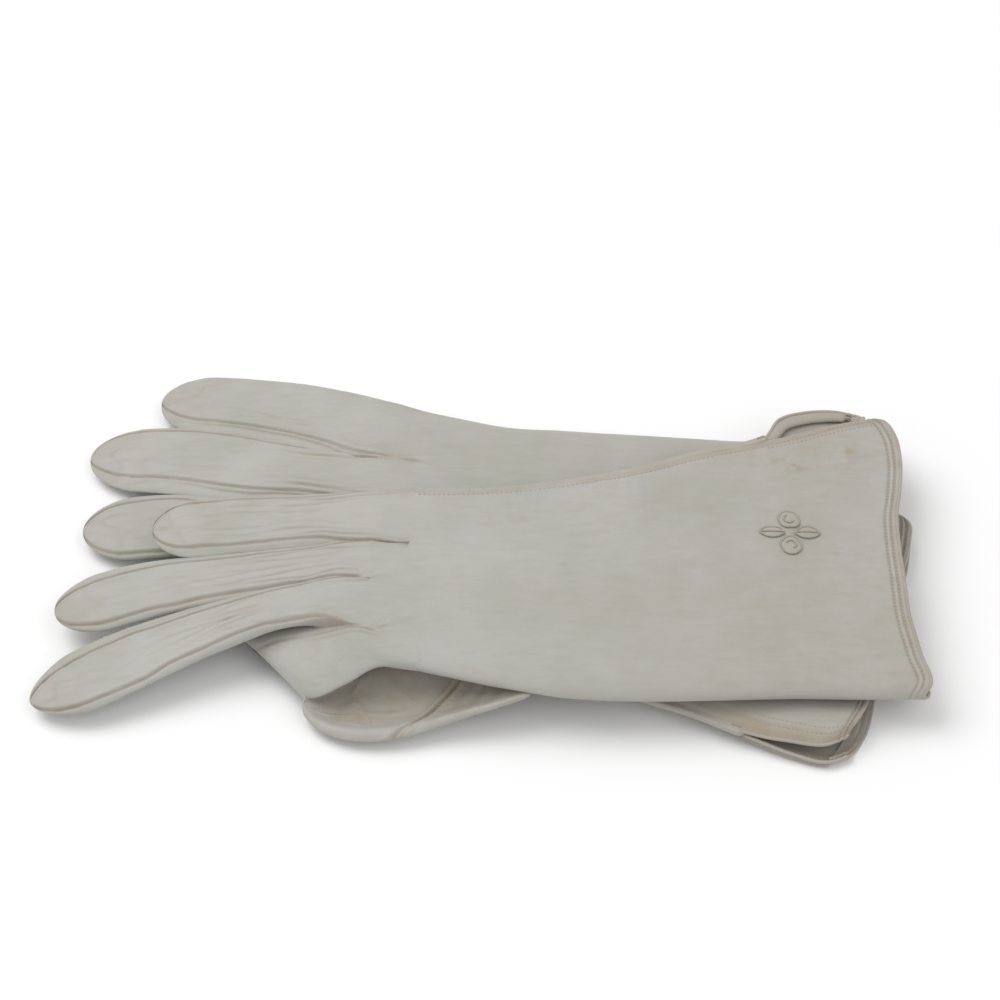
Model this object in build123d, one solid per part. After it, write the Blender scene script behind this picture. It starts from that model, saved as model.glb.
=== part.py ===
"""A pair of unlined leather gloves, laid one on the other with the backs of the hands up.

The left glove lies on the surface and the right glove lies on it. Each glove is a box-section shell
of thin leather: a back and a palm for the hand, a back and a palm for each finger, fourchettes up
the sides of the fingers, a thumb, a welt in the long seam down the little finger's side, folded hems
round the cuff, facings in the cuff's vent and a four-petal ornament. Both thumbs and the right
index finger lie folded, as they do on a glove that is laid down.

Millimetres. X runs from the fingertips to the cuffs, Y from the front of the stack to its back and
Z up. The origin lies on the surface, under the middle of the pair.
"""

from build123d import *
from dataclasses import dataclass
import math
import os

# Leather and clearances
LEATHER = 0.8        # thickness of the shell's leather
FACING = 0.6         # thickness of hems and facings, skived thinner
SEAM_GAP = 0.1       # left between two pieces of one body that are sewn together
JOINT_GAP = 0.45     # left between two pieces that move apart
STACK_GAP = 1.2      # air between the two gloves, where the left ornament lies

# Sections
HAND_HEIGHT = 8.4    # outside height of the hand and cuff
FINGER_HEIGHT = 5.6  # outside height of a finger
FLAT_HEIGHT = 2.4    # outside height of a finger or thumb that is folded flat
THUMB_HEIGHT = 4.6

# The stack leans on the folded left thumb: both hands rise from the left cuff's edge
STACK_TILT = 2.0
LEFT_YAW = 15.5      # the left glove's axis, turned from -X towards +Y

HEM_WIDTH = 6.0
FACING_WIDTH = 5.0
WALL_SETBACK = 4.0   # a side wall ends this far short of the knuckles, where the leather creases
PETAL_HEIGHT = 0.8


@dataclass
class Finger:
    """A finger or thumb: its centreline in plan, its half widths and its droop in degrees.

    bow is how far the centreline passes to the +Y side of the straight line from base to tip, at
    three tenths and at two thirds of the length.
    """

    name: str
    base: tuple
    tip: tuple
    base_half: float
    wide_half: float
    droop: float
    bow: tuple = (0.0, 0.0)

    @property
    def length(self):
        return math.dist(self.base, self.tip)

    @property
    def yaw(self):
        return math.degrees(math.atan2(self.tip[1] - self.base[1], self.tip[0] - self.base[0]))


@dataclass
class Glove:
    """One glove's plan. The edges run from the cuff to the knuckles."""

    side: str
    thumbward: int          # +1 where the thumb's side lies towards +Y, -1 where towards -Y
    floor: float            # height of the palm's underside before the stack is tilted
    index_edge: list
    little_edge: list
    vent_corner: int        # the point of little_edge where the vent ends and the long seam starts
    fingers: list
    ornament: tuple
    ornament_yaw: float


LEFT = Glove(
    side="left",
    thumbward=1,
    floor=0.0,
    index_edge=[(116, 21), (92, 37), (66, 44.5), (30, 47.5), (5, 49)],
    little_edge=[(92, -60), (80, -56.5), (65, -51.5), (44, -44), (20, -32.5), (0, -21.5)],
    vent_corner=2,
    fingers=[
        Finger("index", (-20.5, 46.6), (-91, 63.5), 11.3, 10.3, 7.6, (1.2, 2.2)),
        Finger("middle", (-22.5, 26.2), (-108.5, 41.0), 8.4, 10, 6.6, (1.2, 2.2)),
        Finger("ring", (-26, 9.4), (-108, 15.5), 8.1, 9, 6.6, (1.0, 2.2)),
        Finger("little", (-29, -7), (-85, -8.5), 7.8, 7.8, 8.6),
    ],
    ornament=(80, -16),
    ornament_yaw=-15.5,
)

RIGHT = Glove(
    side="right",
    thumbward=-1,
    floor=HAND_HEIGHT + STACK_GAP,
    index_edge=[(113, -51), (81, -49.5), (43, -50), (20, -48.5), (-8, -44.5)],
    little_edge=[(110, 42), (94, 41), (77.5, 35), (59.6, 31), (40, 25), (21, 19.6)],
    vent_corner=2,
    fingers=[
        Finger("middle", (-30.5, -22.3), (-116, -40.8), 5.9, 9.1, 12.0, (3.4, 3.6)),
        Finger("ring", (-27.5, -9.7), (-112, -14.8), 5.2, 8.1, 10.6, (1.3, 2.0)),
        Finger("little", (-21.5, 5.7), (-87.5, 6.4), 8.6, 8.6, 8.6),
    ],
    ornament=(83.5, -2.5),
    ornament_yaw=0.0,
)

# The right index: its base slopes down to a fold, and the rest lies flat under the hand
INDEX_BASE = [(-27, -29.6), (-27, -43.4), (-47, -45.4), (-61, -32.4)]
INDEX_BASE_DROOP = 20.0
INDEX_TIP = Finger("index_tip", (-50, -31.5), (-7, -28.6), 6.3, 6.3, 0.0)
INDEX_TIP_FLOOR = 0.6

LEFT_THUMB = Finger("thumb", (31, 11), (-31, -3), 10.5, 10.5, 0.0)
RIGHT_THUMB = Finger("thumb", (13, -41.5), (-46.5, -46.5), 7.5, 9.0, 6.0, (-1.6, -1.0))
RIGHT_THUMB_TOP = 11.2
LIFT = 120.0         # how far the right glove lifts clear

made = {}
joints = {}


def keep(node, shape):
    """Keeps a finished piece under its node's name."""
    made[node] = shape


def band(points, shift):
    """A plan strip between a curve through the points and the same curve moved by shift."""
    moved = [(x + shift[0], y + shift[1]) for x, y in points]
    return make_face([Spline(*points), Line(points[-1], moved[-1]), Spline(*moved), Line(moved[0], points[0])])


def slab(face, floor, height):
    """The plan face as a solid from floor up."""
    return extrude(Pos(0, 0, floor) * face, height, dir=(0, 0, 1))


def outline(finger, inset=0.0):
    """A finger's plan along +X from its base: two bowed sides that meet in a round tip."""
    length = finger.length - inset
    facing = 1 if finger.tip[0] < finger.base[0] else -1

    def side(sign):
        def at(share, half, bow):
            return (length * share, sign * (half - inset) - bow * facing)

        slight = 0.6 * finger.base_half + 0.4 * finger.wide_half
        points = [
            at(0, finger.base_half, 0),
            at(0.3, slight, finger.bow[0]),
            at(0.68, finger.wide_half, finger.bow[1]),
            (length, 0),
        ]
        return Spline(*points, tangents=[(1, 0.02 * sign), (0, -sign)])

    return make_face([side(1), side(-1), Line((0, inset - finger.base_half), (0, finger.base_half - inset))])


def halves(ring, finger):
    """The two side walls of a ring, split along the finger's centreline: (+Y side, -Y side)."""
    reach = 2 * finger.length
    above = Pos(finger.length / 2, reach / 2 + SEAM_GAP / 2, 0) * Box(reach, reach, 40)
    below = Pos(finger.length / 2, -reach / 2 - SEAM_GAP / 2, 0) * Box(reach, reach, 40)
    return ring & above, ring & below


def finger_pieces(finger, height):
    """Back, palm and the two side walls of a finger, with its top at Z 0 and its base at X 0."""
    outer = outline(finger)
    inner = outline(finger, LEATHER)
    back = slab(outer, -LEATHER, LEATHER)
    palm = slab(outer, -height, LEATHER)
    wall_floor = LEATHER + SEAM_GAP - height
    ring = slab(outer, wall_floor, height - 2 * (LEATHER + SEAM_GAP)) - slab(inner, wall_floor, height)
    return back, palm, *halves(ring, finger)


def seat(shape, finger, top):
    """Moves a piece from the finger's own frame to its place on the untilted stack."""
    turned = shape.rotate(Axis.Y, finger.droop).rotate(Axis.Z, finger.yaw)
    return turned.moved(Location((finger.base[0], finger.base[1], top)))


def tilt(shape):
    """Leans a piece of the stack up from the left cuff's edge, towards the fingers."""
    return shape.rotate(cuff_line(), STACK_TILT)


def cuff_line():
    """The left cuff's edge on the surface, directed so that a positive turn lifts the fingers."""
    yaw = math.radians(LEFT_YAW)
    return Axis((LEFT.index_edge[0][0], LEFT.index_edge[0][1], 0), (math.sin(yaw), math.cos(yaw), 0))


def hand(glove):
    """Back, palm, long seam's welt, hems, vent facings and ornament of one hand."""
    top = glove.floor + HAND_HEIGHT
    inward = -glove.thumbward
    front = knuckles(glove)
    index_edge = glove.index_edge + [front[0]]
    little_edge = glove.little_edge + [front[-1]]
    seam = little_edge[glove.vent_corner:]
    plan = make_face([
        Spline(*index_edge),
        Polyline(*front),
        Spline(*little_edge),
        Line(little_edge[0], index_edge[0]),
    ])
    back = slab(plan, top - LEATHER, LEATHER)
    fold = band(index_edge, (0, inward * LEATHER)) & behind(front[0][0] + WALL_SETBACK)
    side_wall = slab(fold, glove.floor, HAND_HEIGHT - LEATHER - SEAM_GAP)
    palm = slab(plan, glove.floor, LEATHER) + side_wall
    welt_height = HAND_HEIGHT - 2 * (LEATHER + SEAM_GAP)
    seam_plan = band(seam, (0, -inward * LEATHER)) & behind(front[-1][0] + WALL_SETBACK)
    welt = slab(seam_plan, glove.floor + LEATHER + SEAM_GAP, welt_height)

    low = glove.floor + LEATHER + SEAM_GAP
    high = top - LEATHER - SEAM_GAP - FACING
    hem_plan = hem(glove)
    facing_plan = vent_facing(glove)
    side = glove.side
    keep(f"{side}_hand_back", tilt(back))
    keep(f"{side}_hand_palm", tilt(palm))
    keep(f"{side}_long_seam_welt", tilt(welt))
    keep(f"{side}_cuff_hem_back", tilt(slab(hem_plan, high, FACING)))
    keep(f"{side}_cuff_hem_palm", tilt(slab(hem_plan, low, FACING)))
    keep(f"{side}_vent_facing_back", tilt(slab(facing_plan, high, FACING)))
    keep(f"{side}_vent_facing_palm", tilt(slab(facing_plan, low, FACING)))
    keep(f"{side}_cuff_ornament", tilt(ornament(glove, top)))


def behind(x):
    """The half plane on the cuff's side of x."""
    return Pos(x + 200, 0, 0) * Rectangle(400, 400)


def knuckles(glove):
    """The hand's front edge: the ends of each finger's base line, set back by the joint's gap."""
    corners = []
    for finger in glove.fingers:
        yaw = math.radians(finger.yaw)
        ahead = (math.cos(yaw), math.sin(yaw))
        across = (-ahead[1], ahead[0])
        # across points towards -Y on a finger that points to -X
        for sign in (-glove.thumbward, glove.thumbward):
            corners.append(tuple(
                finger.base[k] + sign * finger.base_half * across[k] - JOINT_GAP * ahead[k] for k in (0, 1)
            ))
    if glove.side == "right":
        line = INDEX_BASE[0][0] + JOINT_GAP
        corners = [(line, INDEX_BASE[1][1]), (line, INDEX_BASE[0][1])] + corners
    return corners


def hem(glove):
    """The plan of a cuff hem: a straight strip along the cuff's edge, clear of the index side's wall."""
    start, end = glove.index_edge[0], glove.little_edge[0]
    along = ((end[0] - start[0]), (end[1] - start[1]))
    width = math.hypot(*along)
    across = (-abs(along[1]) / width, along[0] / width * (1 if along[1] < 0 else -1))
    first = tuple(start[k] + along[k] * 3 * LEATHER / width for k in (0, 1))
    last = tuple(end[k] - along[k] * LEATHER / width for k in (0, 1))
    corners = [
        tuple(first[k] + 0.2 * across[k] for k in (0, 1)),
        tuple(last[k] + 0.2 * across[k] for k in (0, 1)),
        tuple(last[k] + HEM_WIDTH * across[k] for k in (0, 1)),
        tuple(first[k] + HEM_WIDTH * across[k] + 0.05 * along[k] for k in (0, 1)),
    ]
    return make_face([Polyline(*corners, close=True)])


def vent_facing(glove):
    """The plan of a vent facing: a strip inside the vent's edge, from the hem to the long seam."""
    edge = glove.little_edge[: glove.vent_corner + 1]
    strip = band(edge, (0, glove.thumbward * FACING_WIDTH))
    clear = max(edge[0][0], edge[-1][0])
    kept = Pos((clear - HEM_WIDTH - 2.5 + edge[-1][0] + 0.4) / 2, 0, 0) * Rectangle(
        clear - HEM_WIDTH - 2.5 - edge[-1][0] - 0.4, 300
    )
    return (strip & kept).faces()[0]


def ornament(glove, floor):
    """Four petals on the back of the cuff: two round and two pointed."""
    petals = []
    for sign in (-1, 1):
        petals.append(Pos(0, sign * 4.4) * Circle(3.1))
        tip, root, half = sign * 8.6, sign * 1.6, 2.1
        middle = (tip + root) / 2
        leaf = make_face([
            ThreePointArc((root, 0), (middle, half), (tip, 0)),
            ThreePointArc((tip, 0), (middle, -half), (root, 0)),
        ])
        petals.append(leaf)
    placed = Pos(glove.ornament[0], glove.ornament[1], 0) * Rot(0, 0, glove.ornament_yaw)
    return Compound([slab(placed * petal, floor, PETAL_HEIGHT) for petal in petals])


def fingers(glove):
    """The fingers of one glove that lie straight, each a back, a palm and its side walls."""
    top = glove.floor + HAND_HEIGHT
    for finger in glove.fingers:
        back, palm, positive, negative = finger_pieces(finger, FINGER_HEIGHT)
        # a finger that points to -X has its own +Y side towards -Y
        littleward, thumbward = (positive, negative) if glove.thumbward == 1 else (negative, positive)
        name = f"{glove.side}_{finger.name}"
        if finger.name == "index":
            palm = palm + thumbward + slab_bridge(thumbward)
        elif finger.name == "little":
            palm = palm + littleward + slab_bridge(littleward)
        keep(f"{name}_back", tilt(seat(back, finger, top)))
        keep(f"{name}_palm", tilt(seat(palm, finger, top)))
        if finger.name != "index":
            keep(f"{name}_fourchette_thumbward", tilt(seat(thumbward, finger, top)))
        if finger.name != "little":
            keep(f"{name}_fourchette_littleward", tilt(seat(littleward, finger, top)))
        hinge(f"{name}_flex", finger, top)


def slab_bridge(wall):
    """Carries a side wall down to the palm, where the two are one piece of leather."""
    foot = wall.faces().sort_by(Axis.Z)[0]
    return extrude(foot, SEAM_GAP, dir=(0, 0, -1))


def hinge(name, finger, top):
    """Notes where a finger's crease turns: along its base line, at the level of the back."""
    yaw = math.radians(finger.yaw)
    base = Vector(finger.base[0], finger.base[1], top)
    across = Vector(math.sin(yaw), -math.cos(yaw), 0)
    about = cuff_line()
    arm = (base - about.position).rotate(Axis((0, 0, 0), about.direction), STACK_TILT)
    joints[name] = (arm + about.position, across.rotate(Axis((0, 0, 0), about.direction), STACK_TILT))


def right_index():
    """The right index finger: a base that slopes down to the fold, and a flat folded length."""
    top = RIGHT.floor + HAND_HEIGHT
    plan = make_face([Polyline(*INDEX_BASE, close=True)])
    crease = Axis((INDEX_BASE[0][0], 0, top), (0, 1, 0))

    def sloped(shape):
        return tilt(shape.rotate(crease, -INDEX_BASE_DROOP))

    wall_floor = top - FINGER_HEIGHT + LEATHER + SEAM_GAP
    wall_height = FINGER_HEIGHT - 2 * (LEATHER + SEAM_GAP)
    inner, outer = INDEX_BASE[0], INDEX_BASE[3]
    fourchette = band([inner, outer], (0, -LEATHER))
    rim = band([INDEX_BASE[1], INDEX_BASE[2]], (0, LEATHER))
    palm = slab(plan, top - FINGER_HEIGHT, LEATHER) + slab(rim, wall_floor - SEAM_GAP, wall_height + SEAM_GAP)
    keep("right_index_base_back", sloped(slab(plan, top - LEATHER, LEATHER)))
    keep("right_index_base_palm", sloped(palm))
    keep("right_index_base_fourchette", sloped(slab(fourchette, wall_floor, wall_height)))

    back, palm, positive, negative = finger_pieces(INDEX_TIP, FLAT_HEIGHT)
    top = INDEX_TIP_FLOOR + FLAT_HEIGHT
    keep("right_index_tip_palm", seat(back, INDEX_TIP, top))
    keep("right_index_tip_back", seat(palm, INDEX_TIP, top))
    keep("right_index_tip_fourchette", seat(Compound([positive, negative]), INDEX_TIP, top))


def thumb(side, finger, height, top):
    """A thumb: outer leather, inner leather and the seam's gusset between them."""
    back, palm, positive, negative = finger_pieces(finger, height)
    keep(f"{side}_thumb_outer", seat(back, finger, top))
    keep(f"{side}_thumb_inner", seat(palm, finger, top))
    keep(f"{side}_thumb_gusset", seat(Compound([positive, negative]), finger, top))


def main():
    """Builds both gloves and writes one STEP for each piece."""
    for glove in (LEFT, RIGHT):
        hand(glove)
        fingers(glove)
    right_index()
    thumb("left", LEFT_THUMB, FLAT_HEIGHT, FLAT_HEIGHT)
    thumb("right", RIGHT_THUMB, THUMB_HEIGHT, RIGHT_THUMB_TOP)
    middle = Compound(list(made.values())).bounding_box().center()
    os.makedirs("parts", exist_ok=True)
    for node, shape in made.items():
        centred = shape.moved(Location((-middle.X, -middle.Y, 0)))
        export_step(Compound(list(centred.solids())), f"parts/{node}.step")
    print("middle", round(middle.X, 4), round(middle.Y, 4))
    for name, (place, axis) in joints.items():
        place = place - Vector(middle.X, middle.Y, 0)
        print(name, [round(v, 4) for v in tuple(place)], [round(v, 5) for v in tuple(axis)])


main()
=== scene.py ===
"""Dresses the frame of a pair of thin ivory leather gloves, laid one on the other.

Every surface is a function of two parameters on a grid. Lengths inside the classes are in
millimetres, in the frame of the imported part, and become metres when a mesh is made.

The named values below are the lean of the upper glove, as a slope about a pivot, then the
thickness of the leather and of its facings, the room between the two, the length of a hand from
cuff to knuckles, its breadth from fold to long seam, how far the hem's two stitch rows stand from
the cuff, where the vent's rows run round the sheet, how much of a finger starts inside the hand,
and the angle in degrees past which an edge of a finger is shaded sharp.
"""

import logging
import math
from dataclasses import dataclass, field
from enum import Enum

import bmesh
import bpy
import numpy as np
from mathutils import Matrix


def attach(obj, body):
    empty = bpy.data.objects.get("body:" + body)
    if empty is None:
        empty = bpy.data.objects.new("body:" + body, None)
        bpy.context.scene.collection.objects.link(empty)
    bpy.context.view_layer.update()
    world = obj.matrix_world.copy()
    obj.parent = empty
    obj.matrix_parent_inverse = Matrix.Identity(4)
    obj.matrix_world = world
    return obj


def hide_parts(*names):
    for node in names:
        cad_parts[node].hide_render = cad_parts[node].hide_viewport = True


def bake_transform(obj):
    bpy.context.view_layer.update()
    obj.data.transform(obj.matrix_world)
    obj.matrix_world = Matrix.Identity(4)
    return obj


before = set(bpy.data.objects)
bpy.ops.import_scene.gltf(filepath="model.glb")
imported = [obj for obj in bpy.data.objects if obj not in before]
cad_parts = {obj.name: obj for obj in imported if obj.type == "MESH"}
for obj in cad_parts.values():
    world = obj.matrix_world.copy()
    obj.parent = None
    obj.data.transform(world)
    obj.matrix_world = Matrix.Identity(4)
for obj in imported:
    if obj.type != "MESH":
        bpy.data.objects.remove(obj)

LOG = logging.getLogger("gloves")
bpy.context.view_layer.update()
MM = 0.001

LEAN = math.tan(math.radians(2.0))
LEAN_PIVOT = (115.0, 16.0)
LEAN_HEADING = (0.9636, -0.2672)
LEATHER = 0.8
FACING = 0.6
LINING_GAP = 0.06
HAND_LENGTH = 140.0
HAND_BREADTH = 80.0
HEM_ROWS = (1.8, 3.5)
VENT_ROWS = (0.972, 0.952)
FINGER_ROOT = 11.0
SHARP = 60.0

Points = list[tuple[float, ...]]
Colour = tuple[float, float, float]
Socket = bpy.types.NodeSocket


class Side(Enum):
    """Which hand a glove is for."""

    LEFT = "left"
    RIGHT = "right"


class Seam(Enum):
    """How one long edge of a finger is closed."""

    FOURCHETTE = "a strip up the side, sewn at the top and at the bottom"
    FOLD = "the leather turned round, with no seam"
    LONG = "the long seam's welt, on the side itself"


# ---------------------------------------------------------------- curves and fields


def ramp(x: np.ndarray, low: float, high: float) -> np.ndarray:
    """Rises smoothly from 0 at low to 1 at high: 3t^2 - 2t^3.

    Args:
        x: Where it is read.
        low: Last place with value 0.
        high: First place with value 1.

    Returns:
        The value at each x.
    """
    t = np.clip((x - low) / (high - low), 0.0, 1.0)
    return t * t * (3.0 - 2.0 * t)


def bell(x: np.ndarray, width: float) -> np.ndarray:
    """A bell curve, exp(-(x / width)^2).

    Args:
        x: Distance from the middle.
        width: Distance at which it has fallen to 1/e.

    Returns:
        The value at each x.
    """
    return np.exp(-((x / width) ** 2))


def squared(x: np.ndarray, power: float) -> np.ndarray:
    """Squares off a value from -1 to 1: sign(x) |x|^power."""
    return np.sign(x) * np.abs(x) ** power


def curve(points: Points, q: np.ndarray) -> np.ndarray:
    """A smooth curve through points, read at shares q of its length.

    Cubic Hermite spans between the points, with finite differences as slopes.

    Args:
        points: Points in two or three dimensions, or single values.
        q: Shares from 0 to 1.

    Returns:
        An array of q's shape with the coordinates added as the last axis.
    """
    p = np.asarray(points, float)
    chord = np.linalg.norm(np.diff(p[:, : min(2, p.shape[1])], axis=0), axis=1)
    t = np.concatenate([[0.0], np.cumsum(chord)])
    t /= t[-1]
    slope = np.gradient(p, t, axis=0)
    i = np.clip(np.searchsorted(t, q, side="right") - 1, 0, len(t) - 2)
    h = (t[i + 1] - t[i])[..., None]
    u = (q - t[i])[..., None] / h
    return (
        (2 * u**3 - 3 * u**2 + 1) * p[i]
        + (u**3 - 2 * u**2 + u) * h * slope[i]
        + (-2 * u**3 + 3 * u**2) * p[i + 1]
        + (u**3 - u**2) * h * slope[i + 1]
    )


def across_path(path: Points, q: np.ndarray, step: float) -> np.ndarray:
    """Unit directions square to a path in the plan, on its right.

    Args:
        path: Points of the path.
        q: Shares of its length.
        step: Share on each side that gives the heading.

    Returns:
        An array of q's shape with X and Y added as the last axis.
    """
    ahead = (curve(path, np.clip(q + step, 0, 1)) - curve(path, np.clip(q - step, 0, 1)))[..., :2]
    ahead /= np.linalg.norm(ahead, axis=-1, keepdims=True)
    return np.stack([ahead[..., 1], -ahead[..., 0]], axis=-1)


def rumple(x: np.ndarray, y: np.ndarray, size: float, seed: int) -> np.ndarray:
    """Smooth random hills from -1 to 1 on a square lattice, joined by smooth steps.

    Args:
        x: First coordinate.
        y: Second coordinate.
        size: Spacing of the lattice.
        seed: Picks the lattice's values.

    Returns:
        The height at each place.
    """
    lattice = np.random.default_rng(seed).uniform(-1.0, 1.0, (64, 64))
    gx, gy = x / size + 7.3, y / size + 3.1
    i, j = np.floor(gx).astype(int), np.floor(gy).astype(int)
    fx, fy = gx - i, gy - j
    fx, fy = fx * fx * (3 - 2 * fx), fy * fy * (3 - 2 * fy)

    def corner(a: int, b: int) -> np.ndarray:
        """The lattice's value a columns and b rows on."""
        return lattice[(i + a) % 64, (j + b) % 64]

    low = corner(0, 0) * (1 - fx) + corner(1, 0) * fx
    high = corner(0, 1) * (1 - fx) + corner(1, 1) * fx
    return low * (1 - fy) + high * fy


def creases(x: np.ndarray, y: np.ndarray, size: float, seed: int) -> np.ndarray:
    """Sharp-topped wandering folds from 0 to 1: 1 - |rumple|, squared.

    Args:
        x: First coordinate.
        y: Second coordinate.
        size: Spacing of the folds.
        seed: Picks their places.

    Returns:
        The height at each place.
    """
    return (1.0 - np.abs(rumple(x, y, size, seed))) ** 3


def rise(x: np.ndarray, y: np.ndarray) -> np.ndarray:
    """How far the stack's lean lifts a place: its distance from the lower cuff, times the lean.

    Args:
        x: X in millimetres.
        y: Y in millimetres.

    Returns:
        The lift in millimetres.
    """
    along = -(x - LEAN_PIVOT[0]) * LEAN_HEADING[0] - (y - LEAN_PIVOT[1]) * LEAN_HEADING[1]
    return LEAN * along


# ---------------------------------------------------------------- meshes


def grid_quads(rows: int, columns: int, closed: bool, start: int = 0) -> np.ndarray:
    """The faces of a grid of points stored row by row.

    Args:
        rows: Number of rows.
        columns: Number of points in a row.
        closed: Whether each row joins up with its own start.
        start: Index of the grid's first point.

    Returns:
        One row of four indices for each face.
    """
    i = np.arange(rows - 1)[:, None]
    j = np.arange(columns if closed else columns - 1)[None, :]
    k = (j + 1) % columns
    quads = [i * columns + j, i * columns + k, (i + 1) * columns + k, (i + 1) * columns + j]
    return start + np.stack([np.broadcast_to(v, quads[0].shape).ravel() for v in quads], axis=1)


def grid_normals(points: np.ndarray, closed: bool) -> np.ndarray:
    """Unit normals of a grid: the cross product of its two directions.

    Args:
        points: Grid of points, rows by columns by 3.
        closed: Whether each row joins up with its own start.

    Returns:
        A grid of unit vectors.
    """
    down = np.gradient(points, axis=0)
    if closed:
        across = np.roll(points, -1, axis=1) - np.roll(points, 1, axis=1)
    else:
        across = np.gradient(points, axis=1)
    normal = np.cross(down, across)
    return normal / np.maximum(np.linalg.norm(normal, axis=2, keepdims=True), 1e-9)


@dataclass
class Surface:
    """A grid of points with its painted values, which becomes one closed piece.

    Attributes:
        points: Rows by columns by 3, in millimetres.
        paint: Named values on the same grid: stain, seam and so on, which also carry painted shade on the
            right thumb's hollow.
        closed: Whether each row joins up with its own start.
        thickness: Thickness of the sheet, or 0 for a solid whose two ends are capped.
        inward: Which side of the grid's normals the thickness goes to.
    """

    points: np.ndarray
    paint: dict[str, np.ndarray] = field(default_factory=dict)
    closed: bool = False
    thickness: float = 0.0
    inward: float = 1.0

    def tint(self, seam: float, stain: float) -> "Surface":
        """Paints the whole surface evenly.

        Args:
            seam: How much of a seam it all is, 0 to 1.
            stain: How browned it all is, 0 to 1.

        Returns:
            The surface itself.
        """
        shape = self.points.shape[:2]
        self.paint = {"seam": np.full(shape, seam), "stain": np.full(shape, stain)}
        return self

    def mesh_parts(self) -> tuple[np.ndarray, list, dict[str, np.ndarray]]:
        """Works out the piece's points and faces.

        Returns:
            The points, the faces and the painted values at the points.
        """
        rows, columns = self.points.shape[:2]
        flat = self.points.reshape(-1, 3)
        outer = grid_quads(rows, columns, self.closed)
        if self.thickness <= 0:
            faces = outer.tolist() + self._caps(rows, columns)
            return flat, faces, {k: v.ravel() for k, v in self.paint.items()}
        inner = self.points + self.inward * self.thickness * grid_normals(self.points, self.closed)
        count = len(flat)
        back = outer[:, ::-1] + count
        faces = np.concatenate([outer, back, self._rim(rows, columns, count)]).tolist()
        values = {k: np.concatenate([v.ravel(), v.ravel()]) for k, v in self.paint.items()}
        return np.concatenate([flat, inner.reshape(-1, 3)]), faces, values

    def _caps(self, rows: int, columns: int) -> list:
        """The end faces of a closed tube, one at each end.

        Args:
            rows: Rows of the grid.
            columns: Points in a row.

        Returns:
            The faces, as lists of point numbers.
        """
        if not self.closed:
            return []
        first = list(range(columns))[::-1]
        last = [(rows - 1) * columns + k for k in range(columns)]
        return [first, last]

    def _rim(self, rows: int, columns: int, count: int) -> np.ndarray:
        """The faces that join a sheet's two sides all round its border.

        Args:
            rows: Rows of the grid.
            columns: Points in a row.
            count: Points on one side of the sheet.

        Returns:
            The faces, four point numbers each.
        """
        if self.closed:
            top = np.append(np.arange(columns), 0)
            low = (rows - 1) * columns + top
            loops = [top[::-1], low]
        else:
            top = np.arange(columns)
            right = np.arange(rows) * columns + columns - 1
            low = (rows - 1) * columns + np.arange(columns)[::-1]
            left = np.arange(rows)[::-1] * columns
            loops = [np.concatenate([top, right[1:], low[1:], left[1:]])[::-1]]
        quads = []
        for loop in loops:
            a, b = loop[:-1], loop[1:]
            quads.append(np.stack([a, b, b + count, a + count], axis=1))
        return np.concatenate(quads)


def make_piece(name: str, surfaces: list[Surface], sharp: float = 50.0) -> bpy.types.Object:
    """Makes one object from surfaces, with outward faces and smooth shading.

    Args:
        name: The piece's name.
        surfaces: Its closed parts.
        sharp: Angle in degrees past which an edge is shaded sharp.

    Returns:
        The object, at the origin.
    """
    points, faces, values, start = [], [], {}, 0
    for surface in surfaces:
        p, f, v = surface.mesh_parts()
        points.append(p)
        faces += [[start + k for k in face] for face in f]
        for key in ("seam", "stain"):
            values.setdefault(key, []).append(v.get(key, np.zeros(len(p))))
        start += len(p)
    mesh = bpy.data.meshes.new(name)
    mesh.from_pydata((np.concatenate(points) * MM).tolist(), [], faces)
    for key, parts in values.items():
        layer = mesh.attributes.new(key, "FLOAT", "POINT")
        layer.data.foreach_set("value", np.concatenate(parts).astype(np.float32))
    work = bmesh.new()
    work.from_mesh(mesh)
    bmesh.ops.remove_doubles(work, verts=work.verts, dist=2e-6)
    bmesh.ops.dissolve_degenerate(work, edges=work.edges, dist=1e-7)
    bmesh.ops.recalc_face_normals(work, faces=work.faces)
    work.to_mesh(mesh)
    work.free()
    mesh.polygons.foreach_set("use_smooth", np.ones(len(mesh.polygons), dtype=bool))
    mesh.set_sharp_from_angle(angle=math.radians(sharp))
    piece = bpy.data.objects.new(name, mesh)
    bpy.context.scene.collection.objects.link(piece)
    return piece


def finish_piece(
    piece: bpy.types.Object,
    material: bpy.types.Material,
    body: str,
    nodes: tuple[str, ...] = (),
) -> bpy.types.Object:
    """Dresses a piece, sets it on its body and hides the CAD nodes that it stands for.

    Args:
        piece: The piece.
        material: Its finish.
        body: The body that it rides on.
        nodes: The CAD nodes that it stands for.

    Returns:
        The piece.
    """
    piece.data.materials.append(material)
    if body:
        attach(piece, body)
    if nodes:
        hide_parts(*nodes)
    LOG.info("%s: %d faces on %s", piece.name, len(piece.data.polygons), body or "two bodies")
    return piece


# ---------------------------------------------------------------- finishes


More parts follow.
